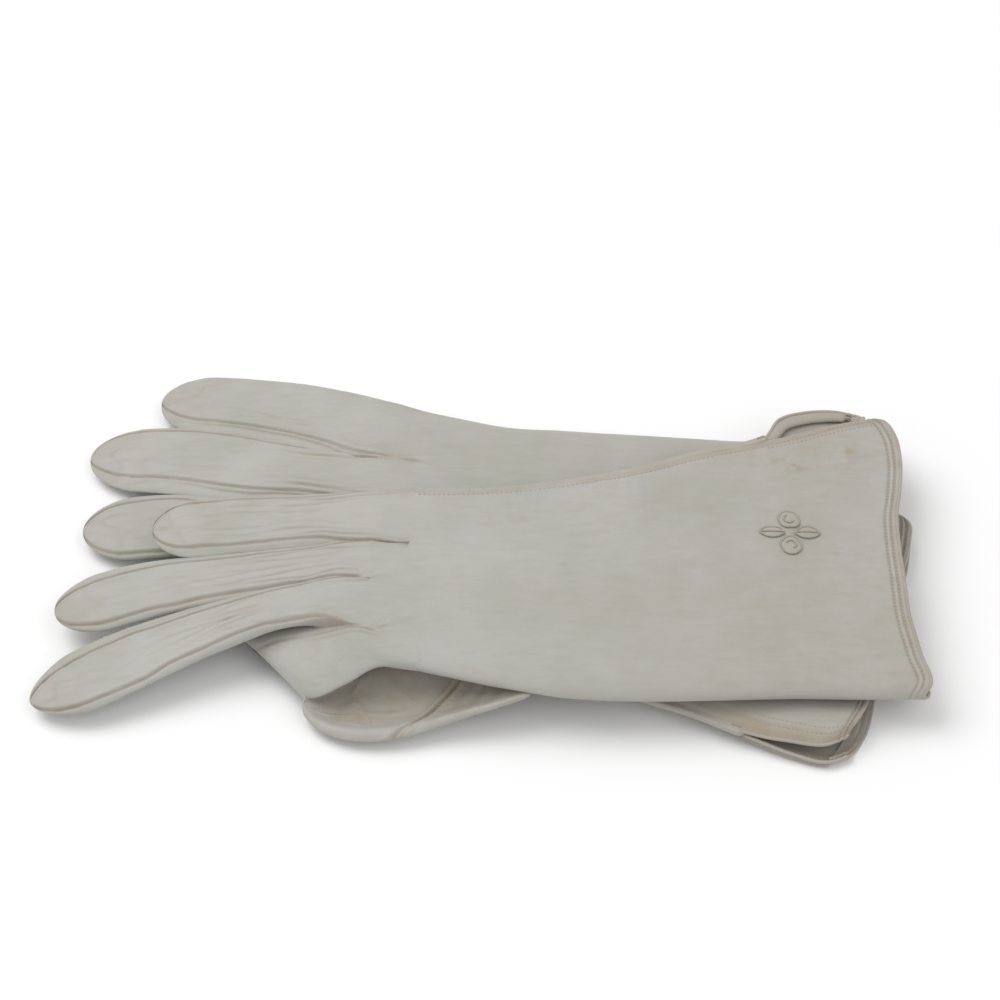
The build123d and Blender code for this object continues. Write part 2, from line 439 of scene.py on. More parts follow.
@dataclass(frozen=True)
class LeatherFinish:
    """Thin kid leather: ivory, uneven, finely grained, browned along its seams and edges, and darkened with
    painted shade where its painted values carry it.

    Attributes:
        name: The material's name.
        light: Colour of the clean leather.
        dull: Colour of its greyer patches.
        brown: Colour of the stain, also used for painted shade.
        stain: How strong the stain is, 0 to 1; it also scales the painted shade.
        roughness: Roughness of the surface.
        grain: Height of the grain in millimetres.
    """

    name: str
    light: Colour
    dull: Colour
    brown: Colour
    stain: float = 0.6
    roughness: float = 0.62
    grain: float = 0.05

    def build(self) -> bpy.types.Material:
        """Makes the node material.

        Returns:
            The material.
        """
        material = bpy.data.materials.new(self.name)
        material.use_nodes = True
        tree = material.node_tree
        nodes, links = tree.nodes, tree.links
        shader = nodes["Principled BSDF"]
        shader.inputs["Roughness"].default_value = self.roughness
        shader.inputs["Specular IOR Level"].default_value = 0.32
        shader.inputs["Sheen Weight"].default_value = 0.12
        shader.inputs["Sheen Roughness"].default_value = 0.5
        place = nodes.new("ShaderNodeTexCoord").outputs["Object"]
        drawn = nodes.new("ShaderNodeMapping")
        drawn.inputs["Scale"].default_value = (0.22, 1.0, 1.0)
        links.new(place, drawn.inputs["Vector"])

        def noise(scale: float, detail: float, rough: float = 0.55, long: bool = False) -> Socket:
            """Random patches.

            Args:
                scale: How many there are to a metre.
                detail: Layers of finer patches.
                rough: Strength of each finer layer.
                long: Whether they are drawn out along X.

            Returns:
                The value, about 0 to 1.
            """
            node = nodes.new("ShaderNodeTexNoise")
            node.inputs["Scale"].default_value = scale
            node.inputs["Detail"].default_value = detail
            node.inputs["Roughness"].default_value = rough
            links.new(drawn.outputs["Vector"] if long else place, node.inputs["Vector"])
            return node.outputs["Fac"]

        def spread(value: Socket, low: float, high: float, top: float) -> Socket:
            """Maps low..high to 0..top, held at the ends.

            Args:
                value: The value to map.
                low: Where the result starts to rise from 0.
                high: Where it reaches the top.
                top: Its greatest value.

            Returns:
                The mapped value.
            """
            node = nodes.new("ShaderNodeMapRange")
            node.inputs["From Min"].default_value = low
            node.inputs["From Max"].default_value = high
            node.inputs["To Max"].default_value = top
            links.new(value, node.inputs["Value"])
            return node.outputs["Result"]

        def arithmetic(kind: str, a: Socket, b: Socket | float) -> Socket:
            """One sum or product of two values, held to 0..1.

            Args:
                kind: The operation's name.
                a: The first value.
                b: The second value, or a plain number.

            Returns:
                The result.
            """
            node = nodes.new("ShaderNodeMath")
            node.operation = kind
            node.use_clamp = True
            links.new(a, node.inputs[0])
            if isinstance(b, bpy.types.NodeSocket):
                links.new(b, node.inputs[1])
            else:
                node.inputs[1].default_value = b
            return node.outputs[0]

        def blend(share: Socket, a: Socket | Colour, b: Colour) -> Socket:
            """A colour that goes from a to b as share goes from 0 to 1.

            Args:
                share: How far it has gone.
                a: The first colour.
                b: The second colour.

            Returns:
                The mixed colour.
            """
            node = nodes.new("ShaderNodeMix")
            node.data_type = "RGBA"
            links.new(share, node.inputs["Factor"])
            if isinstance(a, bpy.types.NodeSocket):
                links.new(a, node.inputs[6])
            else:
                node.inputs[6].default_value = (*a, 1.0)
            node.inputs[7].default_value = (*b, 1.0)
            return node.outputs[2]

        def painted(name: str) -> Socket:
            """The value painted on the mesh under a name."""
            node = nodes.new("ShaderNodeAttribute")
            node.attribute_name = name
            return node.outputs["Fac"]

        patches = spread(noise(38.0, 3.0), 0.35, 0.7, 1.0)
        colour = blend(patches, self.light, self.dull)
        drift = spread(noise(22.0, 2.0, 0.5, True), 0.45, 0.8, 0.16)
        colour = blend(drift, colour, self.brown)
        streaks = spread(noise(620.0, 3.0, 0.6, True), 0.42, 0.72, 0.16)
        colour = blend(streaks, colour, self.brown)
        specks = spread(noise(420.0, 2.0, 0.7), 0.70, 0.80, 0.22)
        colour = blend(specks, colour, self.brown)
        # Painted stain value: real stains, and painted shade in the right thumb's hollow.
        stain_and_shade = arithmetic("MULTIPLY", painted("stain"), spread(noise(190.0, 4.0, 0.7), 0.25, 0.75, 1.0))
        colour = blend(arithmetic("MULTIPLY", stain_and_shade, self.stain), colour, self.brown)
        # Painted seam value: the seams' browning, and painted shade in the right thumb's hollow.
        seam = arithmetic("MULTIPLY", painted("seam"), spread(noise(120.0, 3.0), 0.15, 0.7, 1.0))
        colour = blend(arithmetic("MULTIPLY", seam, self.stain), colour, self.brown)
        links.new(colour, shader.inputs["Base Color"])

        grain = nodes.new("ShaderNodeTexVoronoi")
        grain.inputs["Scale"].default_value = 1700.0
        links.new(place, grain.inputs["Vector"])
        fine = nodes.new("ShaderNodeBump")
        fine.inputs["Strength"].default_value = 0.5
        fine.inputs["Distance"].default_value = self.grain * MM
        links.new(grain.outputs["Distance"], fine.inputs["Height"])
        soft = nodes.new("ShaderNodeBump")
        soft.inputs["Strength"].default_value = 0.45
        soft.inputs["Distance"].default_value = 4 * self.grain * MM
        links.new(noise(420.0, 6.0, 0.62, True), soft.inputs["Height"])
        links.new(fine.outputs["Normal"], soft.inputs["Normal"])
        links.new(soft.outputs["Normal"], shader.inputs["Normal"])
        return material


@dataclass(frozen=True)
class PlainFinish:
    """A plain matt finish for thread and the floor.

    Attributes:
        name: The material's name.
        colour: Its colour.
        shade: A second colour, in patches.
        scale: Size of the patches, per metre.
        roughness: Roughness of the surface.
    """

    name: str
    colour: Colour
    shade: Colour
    scale: float
    roughness: float = 0.8

    def build(self) -> bpy.types.Material:
        """Makes the node material.

        Returns:
            The material.
        """
        material = bpy.data.materials.new(self.name)
        material.use_nodes = True
        nodes, links = material.node_tree.nodes, material.node_tree.links
        shader = nodes["Principled BSDF"]
        shader.inputs["Roughness"].default_value = self.roughness
        shader.inputs["Specular IOR Level"].default_value = 0.2
        place = nodes.new("ShaderNodeTexCoord")
        noise = nodes.new("ShaderNodeTexNoise")
        noise.inputs["Scale"].default_value = self.scale
        links.new(place.outputs["Object"], noise.inputs["Vector"])
        mix = nodes.new("ShaderNodeMix")
        mix.data_type = "RGBA"
        mix.inputs[6].default_value = (*self.colour, 1.0)
        mix.inputs[7].default_value = (*self.shade, 1.0)
        links.new(noise.outputs["Fac"], mix.inputs["Factor"])
        links.new(mix.outputs[2], shader.inputs["Base Color"])
        return material


@dataclass
class Finishes:
    """All the finishes of the pair, made once."""

    kid: bpy.types.Material = field(init=False)
    hem: bpy.types.Material = field(init=False)
    welt: bpy.types.Material = field(init=False)
    thread: bpy.types.Material = field(init=False)

    def __post_init__(self) -> None:
        """Builds each material."""
        brown = (0.30, 0.225, 0.15)
        self.kid = LeatherFinish(
            "kid_leather", light=(0.422, 0.422, 0.393), dull=(0.376, 0.380, 0.338), brown=brown, stain=0.78
        ).build()
        self.hem = LeatherFinish(
            "hem_leather", light=(0.415, 0.395, 0.355), dull=(0.375, 0.355, 0.315), brown=brown, stain=0.5
        ).build()
        self.welt = LeatherFinish(
            "welt_leather", light=(0.425, 0.418, 0.382), dull=(0.385, 0.375, 0.335), brown=brown, stain=0.6
        ).build()
        self.thread = PlainFinish("thread", (0.41, 0.385, 0.34), (0.35, 0.32, 0.275), 900.0).build()


# ---------------------------------------------------------------- the hand


@dataclass
class Hand:
    """The hand and cuff of one glove: one sheet turned round the index side, open at the long seam.

    The first parameter q runs from the cuff (0) to the knuckles (1). The second, tau, runs from the
    palm's seam edge (-1) round the index side (0) to the back's seam edge (1).

    Attributes:
        side: Which hand.
        floor: Height of the palm before the stack's lean.
        index_edge: Plan of the folded edge, cuff to knuckles.
        back_edge: Plan of the back's sewn edge, cuff to knuckles.
        palm_edge: Plan of the palm's sewn edge, cuff to knuckles.
        cuff: Plan of the back's cuff edge, index side to little finger's side.
        knuckles: Plan of the front edge, index side to little finger's side.
        index_line: A point of the folded edge beside the knuckles, and the edge's slope there.
        sewn_line: A point of the sewn edge beside the knuckles, and the edge's slope there.
        crotches: Plan of the places where the fingers part, and the heading of each crease.
        vent: Share of the sewn edge that the vent takes.
        droop: How far the folded edge hangs below the middle.
        gap: How far the vent's two edges stand apart.
        height: Height of the hand over its middle.
        seed: Picks the undulation.
        rolled: Whether the vent's palm edge is rolled back on itself.
        marks: Plan, reach along X and along Y, and strength of each faint stain on the back.
    """

    side: Side
    floor: float
    index_edge: Points
    back_edge: Points
    palm_edge: Points
    cuff: Points
    knuckles: Points
    index_line: tuple[float, float, float]
    sewn_line: tuple[float, float, float]
    crotches: Points
    vent: float
    droop: float
    gap: float
    height: float = 6.6
    seed: int = 3
    rolled: bool = False
    marks: Points = field(default_factory=list)

    def plan(self, q: np.ndarray, f: np.ndarray, upper: np.ndarray) -> np.ndarray:
        """Plan position: between the two edges, bent to the cuff's and the knuckles' curves.

        Args:
            q: Share from cuff to knuckles.
            f: Share from the folded edge to the sewn edge.
            upper: 1 on the back, 0 on the palm.

        Returns:
            X and Y as the last axis.
        """
        inside = curve(self.index_edge, q)
        sewn = (
            curve(self.back_edge, q) * upper[..., None]
            + curve(self.palm_edge, q) * (1 - upper)[..., None]
        )
        share = f[..., None]
        place = inside * (1 - share) + sewn * share
        near = (1 - ramp(q, 0.0, 0.3))[..., None]
        straight = np.array(self.cuff[0]) * (1 - share) + np.array(self.cuff[-1]) * share
        place = place + near * (curve(self.cuff, f) - straight)
        far = ramp(q, 0.72, 1.0)[..., None]
        straight = np.array(self.knuckles[0]) * (1 - share) + np.array(self.knuckles[-1]) * share
        return place + far * (curve(self.knuckles, f) - straight)

    def bottom(self, x: np.ndarray, y: np.ndarray) -> np.ndarray:
        """Height of the palm beside the knuckles, as a function of the plan alone."""
        folded, sewn = self.beside(x, y)
        return self.middle(x, y, folded) - self.half(folded, sewn) - 0.3 * self.soft(x, y)

    def beside(self, x: np.ndarray, y: np.ndarray) -> tuple[np.ndarray, np.ndarray]:
        """Distances from the folded edge and from the sewn edge, both taken as straight lines.

        Args:
            x: X in millimetres.
            y: Y in millimetres.

        Returns:
            The two distances, positive inside the hand.
        """
        px, py, slope = self.index_line
        folded = (y - py - slope * (x - px)) / math.hypot(1.0, slope)
        px, py, slope = self.sewn_line
        sewn = (py + slope * (x - px) - y) / math.hypot(1.0, slope)
        turned = 1.0 if self.side is Side.RIGHT else -1.0
        return turned * folded, turned * sewn

    def middle(self, x: np.ndarray, y: np.ndarray, folded: np.ndarray) -> np.ndarray:
        """Height of the surface midway between back and palm."""
        hang = self.droop * (1 - ramp(folded, 0.0, 26.0)) ** 1.5
        return self.floor + 0.4 + self.height / 2 + rise(x, y) - hang

    def half(self, folded: np.ndarray, sewn: np.ndarray) -> np.ndarray:
        """Half the thickness: thin at both edges and full over the middle.

        Each edge is rounded over its nearest reach r: (1 - (1 - e / r)^2.4)^0.6.

        Args:
            folded: Distance from the folded edge.
            sewn: Distance from the sewn edge.

        Returns:
            Half the thickness in millimetres.
        """
        thin = 1.15
        round_off = [
            (1 - (1 - np.clip(e / reach, 0.0, 1.0)) ** 2.4) ** 0.6
            for e, reach in ((folded, 9.0), (sewn, 10.0))
        ]
        return thin + (self.height / 2 - thin) * round_off[0] * round_off[1]

    def soft(self, x: np.ndarray, y: np.ndarray) -> np.ndarray:
        """The back's slow undulation and the fine creases that run into the hand from the crotches.

        Args:
            x: X in millimetres.
            y: Y in millimetres.

        Returns:
            The change of height.
        """
        height = 0.17 * rumple(x * 0.4, y, 7.0, self.seed + 1) + 0.05 * rumple(x, y, 2.6, self.seed + 2)
        height = height + 0.45 * rumple(x, y, 31.0, self.seed)
        for px, py, heading, size in self.crotches:
            ahead = (math.cos(math.radians(heading)), math.sin(math.radians(heading)))
            along = (x - px) * ahead[0] + (y - py) * ahead[1]
            aside = -(x - px) * ahead[1] + (y - py) * ahead[0]
            near = ramp(along, -9.0, -1.0) * np.exp(-np.maximum(along, 0.0) / 7.0)
            fan = (
                0.34 * bell(aside + 0.06 * along, 0.55)
                + 0.2 * bell(aside - 1.8 - 0.22 * along, 0.6)
                + 0.16 * bell(aside + 2.2 + 0.3 * along, 0.7)
                - 0.14 * bell(aside - 1.0 - 0.1 * along, 0.8)
            )
            height = height - size * fan * near
        return height

    def top(self, x: np.ndarray, y: np.ndarray) -> np.ndarray:
        """Height of the back beside the knuckles, as a function of the plan alone."""
        folded, sewn = self.beside(x, y)
        return self.middle(x, y, folded) + self.half(folded, sewn) + self.soft(x, y)

    def surface(self, q: np.ndarray, tau: np.ndarray, inset: float = 0.0) -> Surface:
        """The sheet's outer face over a grid of q and tau.

        Args:
            q: Shares from cuff to knuckles, one for each row.
            tau: Places round the sheet, one for each column.
            inset: How far inside the sheet's outer face the surface lies.

        Returns:
            The surface, with its seam and stain painted.
        """
        row, column = np.meshgrid(q, tau, indexing="ij")
        turn = 0.022
        root = np.sqrt(column**2 + turn**2)
        f = (root - turn) / (math.sqrt(1 + turn**2) - turn)
        face = column / root
        upper = ramp(column, -0.06, 0.06)
        place = self.plan(row, f, upper)
        x, y = place[..., 0], place[..., 1]
        width = np.linalg.norm(curve(self.back_edge, row) - curve(self.index_edge, row), axis=-1)
        lines = self.beside(x, y)
        near = ramp(row, 0.7, 0.92)
        folded = f * width * (1 - near) + lines[0] * near
        sewn = (1 - f) * width * (1 - near) + lines[1] * near
        vent = self.gap * ramp(f, 0.72, 1.0) * (1 - ramp(row, self.vent * 0.35, self.vent))
        z = self.middle(x, y, folded) + face * (self.half(folded, sewn) + vent)
        z = z + self.soft(x, y) * np.where(face > 0, face, 0.3 * face)
        z = z + self.relief(x, y, row, f, face) - 0.05 * ramp(row, 0.985, 1.0) * face
        points = np.stack([x, y, z], axis=-1)
        if inset:
            points = points - inset * self.outward(points)
        return Surface(points, self.paint(row, f, face, x, y))

    def outward(self, points: np.ndarray) -> np.ndarray:
        """Unit normals that point away from the hand's inside.

        Args:
            points: The sheet's grid of points.

        Returns:
            A normal for each point.
        """
        normal = grid_normals(points, False)
        columns = points.shape[1]
        sign = np.sign(normal[:, columns - 3, 2].mean())
        return normal * (sign if abs(sign) > 0 else 1.0)

    def relief(
        self, x: np.ndarray, y: np.ndarray, q: np.ndarray, f: np.ndarray, face: np.ndarray
    ) -> np.ndarray:
        """Small folds: the hem's two sewn channels, the long seam's channel and the wrist's creases.

        Args:
            x: X in millimetres.
            y: Y in millimetres.
            q: Share from cuff to knuckles.
            f: Share from the folded edge to the sewn edge.
            face: 1 on the back, -1 on the palm.

        Returns:
            The change of height.
        """
        d = q * HAND_LENGTH
        near, far = HEM_ROWS
        hem = 0.25 * bell(d - 0.8, 0.6) - 0.3 * bell(d - near, 0.4) + 0.12 * bell(d - 2.6, 0.4)
        hem = hem - 0.28 * bell(d - far, 0.45)
        wrist = 0.22 * self.ticks(x, y, q, f)
        stitched = -0.3 * bell((1 - f) * HAND_BREADTH - 2.4, 0.8) * ramp(q, self.vent, self.vent + 0.03)
        stitched = stitched * (1 - ramp(q, 0.8, 0.95))
        return (hem + wrist + stitched) * np.where(face > 0, face, 0.6 * face)

    def ticks(self, x: np.ndarray, y: np.ndarray, q: np.ndarray, f: np.ndarray) -> np.ndarray:
        """Short creases square to the long seam, where the wrist bends.

        Args:
            x: X in millimetres.
            y: Y in millimetres.
            q: Share from cuff to knuckles.
            f: Share from the folded edge to the sewn edge.

        Returns:
            The depth of the creases, from 0 to 1.
        """
        fold = creases(x * 1.5, y * 0.12, 4.0, self.seed + 4) ** 2
        fold = fold * ramp(rumple(x, y, 8.0, self.seed + 6), -0.4, 0.6)
        fold = fold * ramp(f, 0.7, 0.9) * (1 - ramp(f, 0.96, 1.0))
        return fold * ramp(q, 0.3, 0.5) * (1 - ramp(q, 0.84, 0.95))

    def paint(
        self, q: np.ndarray, f: np.ndarray, face: np.ndarray, x: np.ndarray, y: np.ndarray
    ) -> dict[str, np.ndarray]:
        """Where the leather is browned: the cuff's edge, the vent and the long seam.

        Args:
            q: Share from cuff to knuckles.
            f: Share from the folded edge to the sewn edge.
            face: 1 on the back, -1 on the palm.
            x: X in millimetres.
            y: Y in millimetres.

        Returns:
            The seam and stain values.
        """
        d = q * HAND_LENGTH
        edge = (1 - f) * HAND_BREADTH
        seam = 0.6 * bell(edge - 1.0, 1.2) + 0.5 * bell(edge - 2.6, 0.5)
        near, far = HEM_ROWS
        hem = 0.8 * bell(d, 0.9) + 0.75 * bell(d - near, 0.32) + 0.75 * bell(d - far, 0.34)
        vent = 0.3 * bell(edge, 2.2) * (1 - ramp(q, self.vent, self.vent + 0.05))
        cuff = 0.27 * (1 - ramp(q, 0.05, 0.75)) + 0.1 * bell(d, 4.0)
        spots = ramp(rumple(x * 0.8, y, 1.1, self.seed + 12), 0.1, 0.6) * (face > 0)
        for px, py, reach_x, reach_y, strength in self.marks:
            cuff = cuff + 1.3 * strength * spots * bell(x - px, reach_x) * bell(y - py, reach_y)
        return {
            "seam": np.clip(seam + hem + vent + 0.15 * self.ticks(x, y, q, f), 0, 1),
            "stain": np.clip(cuff + 0.35 * hem + vent + 0.2 * bell(edge, 6.0), 0, 1),
        }

    def taus(self, count: int) -> np.ndarray:
        """Places round the sheet, closer together at the fold."""
        return squared(np.linspace(-1, 1, count), 1.35)

    def build(self, look: Finishes) -> None:
        """Makes the hand's sheet, hem, facings, welt and stitches.

        Args:
            look: The finishes.
        """
        name = self.side.value
        body = f"{name}_hand"
        dense, rest = np.linspace(0, 0.04, 32)[:-1], np.linspace(0.04, 1, 158)
        sheet = self.surface(np.concatenate([dense, rest]), self.taus(250))
        sheet.thickness = LEATHER
        sheet.inward = -1.0 if self.outward_sign(sheet.points) > 0 else 1.0
        shell = make_piece(f"{name}_hand_skin", [sheet])
        finish_piece(shell, look.kid, body, (f"{name}_hand_back", f"{name}_hand_palm"))
        self.build_hem(look, body)
        self.build_facings(look, body)
        self.build_welt(look, body)

    def outward_sign(self, points: np.ndarray) -> float:
        """Plus one where the grid's own normals point out of the hand."""
        normal = grid_normals(points, False)
        return float(np.sign(normal[:, -20:-5, 2].mean()))

    def build_hem(self, look: Finishes, body: str) -> None:
        """The cuff's turned hem inside the edge, the roll of the edge itself, and the stitches.

        Args:
            look: The finishes.
            body: The body that they ride on.
        """
        name = self.side.value
        band = self.surface(np.linspace(0.004, 0.046, 10), self.taus(200), LEATHER + LINING_GAP)
        band.thickness = FACING
        band.inward = -1.0 if self.outward_sign(band.points) > 0 else 1.0
        edge = self.surface(np.array([0.0, 0.002]), self.taus(220), LEATHER / 2)
        roll = cord_along(edge.points[0], 0.55, 10, 1.0, steady=(1.0, 0.0, 0.0)).tint(0.35, 0.5)
        piece = make_piece(f"{name}_cuff_hem", [band, roll])
        nodes = (f"{name}_cuff_hem_back", f"{name}_cuff_hem_palm")
        finish_piece(piece, look.hem, body, nodes)
        rows = []
        for d in HEM_ROWS:
            line = self.surface(np.array([d, d + 0.3]) / HAND_LENGTH, np.linspace(0.06, 0.985, 400)).points
            rows.append(stitch_row(line[0], self.up(line), 1.2, 0.85, 0.2))
        for tau in VENT_ROWS:
            line = self.surface(np.linspace(0.03, self.vent, 200), np.array([tau, tau - 0.01])).points[:, 0]
            rows.append(stitch_row(line, self.up(line[None]), 1.2, 0.9, 0.1))
        piece = make_piece(f"{name}_hem_stitches", rows)
        finish_piece(piece, look.thread, body)

    def up(self, line: np.ndarray) -> np.ndarray:
        """Upward directions along a line of the back.

        Args:
            line: Points of the line, as one row of a grid.

        Returns:
            A direction for each point.
        """
        out = np.zeros_like(line[0])
        out[:, 2] = 1.0
        return out

    def build_facings(self, look: Finishes, body: str) -> None:
        """The vent's facings, and the roll of each of its edges.

        Args:
            look: The finishes.
            body: The body that they ride on.
        """
        name = self.side.value
        for label, low, high in (("back", 0.93, 0.998), ("palm", -0.998, -0.93)):
            share = np.linspace(0.05, self.vent, 40)
            strip = self.surface(share, np.linspace(low, high, 9), LEATHER + LINING_GAP)
            strip.thickness = FACING
            whole = self.surface(share, np.linspace(low, high, 9)).points
            above = grid_normals(whole, False)[..., 2].mean()
            strip.inward = (-1.0 if above > 0 else 1.0) * (1 if label == "back" else -1)
            way = np.sign(high)
            place = self.surface(np.linspace(0.0, self.vent * 1.02, 90), np.array([1.0, 0.995]) * way)
            line = place.points[:, 0] - np.array([0, 0, LEATHER / 2]) * way
            parts = [strip, cord_along(line, 0.5, 10, 1.0)]
            if label == "palm" and self.rolled:
                for first, last, bulk in ((0.045, self.vent * 0.98, 1.0), (0.008, 0.036, 0.8)):
                    inner = self.surface(np.linspace(first, last, 70), np.array([-0.978, -0.97]))
                    line = inner.points[:, 0] + np.array([0, 0, 1.25])
                    parts.append(cord_along(line, 1.9 * bulk, 16, 0.42))
            for part in parts:
                part.tint(0.2, 0.35)
            piece = make_piece(f"{name}_vent_facing_{label}_band", parts)
            finish_piece(piece, look.hem, body, (f"{name}_vent_facing_{label}",))

    def build_welt(self, look: Finishes, body: str) -> None:
        """The long seam: a double ridge that closes the sheet's two edges, and its stitches.

        Args:
            look: The finishes.
            body: The body that they ride on.
        """
        name = self.side.value
        share = np.linspace(self.vent * 0.97, 1.0, 260)
        back = self.surface(share, np.array([1.0, 0.99])).points[:, 0]
        palm = self.surface(share, np.array([-1.0, -0.99])).points[:, 0]
        line = (back + palm) / 2
        line[:, 2] += 0.35
        ridge = cord_along(line, 1.15, 18, 1.25, lobes=0.16).tint(0.15, 0.3)
        piece = make_piece(f"{name}_long_seam", [ridge])
        finish_piece(piece, look.welt, body, (f"{name}_long_seam_welt",))
        inner = self.surface(share, np.array([0.965, 0.96])).points[:, 0]
        rows = [stitch_row(inner, self.up(inner[None]), 1.3, 0.8, 0.11)]
        reach = np.linspace(-1.0, 1.0, 9)[:, None] * np.array([[0.0, 0.55, 1.25]])
        for step in range(3, 10):
            bar = (back[step] + palm[step]) / 2 + reach
            rows.append(cord_along(bar + np.array([0.0, 0.0, 0.6]), 0.2, 7, 1.0, steady=(1.0, 0.0, 0.0)))
        piece = make_piece(f"{name}_long_seam_stitches", rows)
        finish_piece(piece, look.thread, body)


def cord_along(
    line: np.ndarray,
    radius: float,
    around: int,
    tall: float,
    lobes: float = 0.0,
    steady: tuple[float, float, float] = (0.0, 0.0, 1.0),
) -> Surface:
    """A solid cord along a line: a ring of radius r(1 + lobes cos 2a), carried along it.

    Args:
        line: Points along the middle.
        radius: Radius of the ring.
        around: Points in the ring.
        tall: Height of the ring over its width.
        lobes: How far the ring bulges to both sides.
        steady: A direction that the line never takes, which keeps the ring from turning.

    Returns:
        The closed surface.
    """
    heading = np.gradient(line, axis=0)
    heading /= np.maximum(np.linalg.norm(heading, axis=1, keepdims=True), 1e-9)
    aside = np.cross(heading, np.array(steady))
    aside /= np.maximum(np.linalg.norm(aside, axis=1, keepdims=True), 1e-9)
    above = np.cross(aside, heading)
    angle = np.linspace(0, 2 * np.pi, around, endpoint=False)
    end = np.minimum(np.arange(len(line)), np.arange(len(line))[::-1])
    taper = np.sqrt(np.clip(end / 3.0, 0.08, 1.0))[:, None, None]
    size = radius * (1 + lobes * np.cos(2 * angle) - lobes * bell(np.cos(angle), 0.35))
    ring = (
        np.cos(angle)[None, :, None] * aside[:, None, :]
        + tall * np.sin(angle)[None, :, None] * above[:, None, :]
    ) * size[None, :, None]
    return Surface(line[:, None, :] + ring * taper, closed=True)


def stitch_row(line: np.ndarray, up: np.ndarray, pitch: float, length: float, radius: float) -> Surface:
    """A row of short stitches along a line, each a small closed lozenge.

    Each stitch is a ring of six points carried through four stations, thin at its two ends and sunk
    there: its height is radius times (1 - (2t - 1)^2).

    Args:
        line: Points along the row.
        up: Direction away from the leather at each point.
        pitch: Distance from one stitch to the next.
        length: Length of a stitch.
        radius: Its radius.

    Returns:
        The stitches as one surface whose rows are stations along all of them.
    """
    step = np.linalg.norm(np.diff(line, axis=0), axis=1)
    along = np.concatenate([[0.0], np.cumsum(step)])
    count = max(2, int(along[-1] / pitch))
    starts = (np.arange(count) + 0.2) * pitch
    return StitchSurface.of(line, up, along, starts, length, radius)


@dataclass
class StitchSurface(Surface):
    """Many small closed stitches held in one grid: each row of the grid is one stitch's ring."""

    stations: int = 4

    @classmethod
    def of(
        cls,
        line: np.ndarray,
        up: np.ndarray,
        along: np.ndarray,
        starts: np.ndarray,
        length: float,
        radius: float,
    ) -> "StitchSurface":
        """Places a stitch at each start.

        Args:
            line: Points along the row.
            up: Direction away from the leather at each point.
            along: Distance of each point along the row.
            starts: Distance at which each stitch starts.
            length: Length of a stitch.
            radius: Its radius.

        Returns:
            The stitches.
        """
        t = np.array([0.0, 0.3, 0.7, 1.0])
        size = np.array([0.35, 1.0, 1.0, 0.35]) * radius
        at = (starts[:, None] + t[None, :] * length).ravel()
        middle = np.stack([np.interp(at, along, line[:, k]) for k in range(3)], axis=1)
        above = np.stack([np.interp(at, along, up[:, k]) for k in range(3)], axis=1)
        after, before = at + 0.1, at - 0.1
        ahead = np.stack(
            [np.interp(after, along, line[:, k]) - np.interp(before, along, line[:, k]) for k in range(3)],
            axis=1,
        )
        ahead /= np.maximum(np.linalg.norm(ahead, axis=1, keepdims=True), 1e-9)
        aside = np.cross(ahead, above)
        angle = np.linspace(0, 2 * np.pi, 6, endpoint=False)
        wide = np.tile(size, len(starts))[:, None, None]
        sunk = np.tile(np.array([-0.15, 0.6 * radius, 0.6 * radius, -0.15]), len(starts))[:, None]
        ring = (
            np.cos(angle)[None, :, None] * aside[:, None, :]
            + np.sin(angle)[None, :, None] * above[:, None, :]
        ) * wide
        points = (middle + sunk * above)[:, None, :] + ring
        return cls(points, closed=True)

    def mesh_parts(self) -> tuple[np.ndarray, list, dict[str, np.ndarray]]:
        """Faces of each stitch apart from the next, with both ends capped.

        Returns:
            The points, the faces and no painted values.
        """
        rows, columns = self.points.shape[:2]
        quads = grid_quads(rows, columns, True).reshape(rows - 1, columns, 4)
        keep = (np.arange(rows - 1) % self.stations) != self.stations - 1
        faces = quads[keep].reshape(-1, 4).tolist()
        ring = np.arange(columns)
        first = (np.arange(0, rows, self.stations)[:, None] * columns + ring[::-1]).tolist()
        last = (np.arange(self.stations - 1, rows, self.stations)[:, None] * columns + ring).tolist()
        return self.points.reshape(-1, 3), faces + first + last, {}


# ---------------------------------------------------------------- fingers


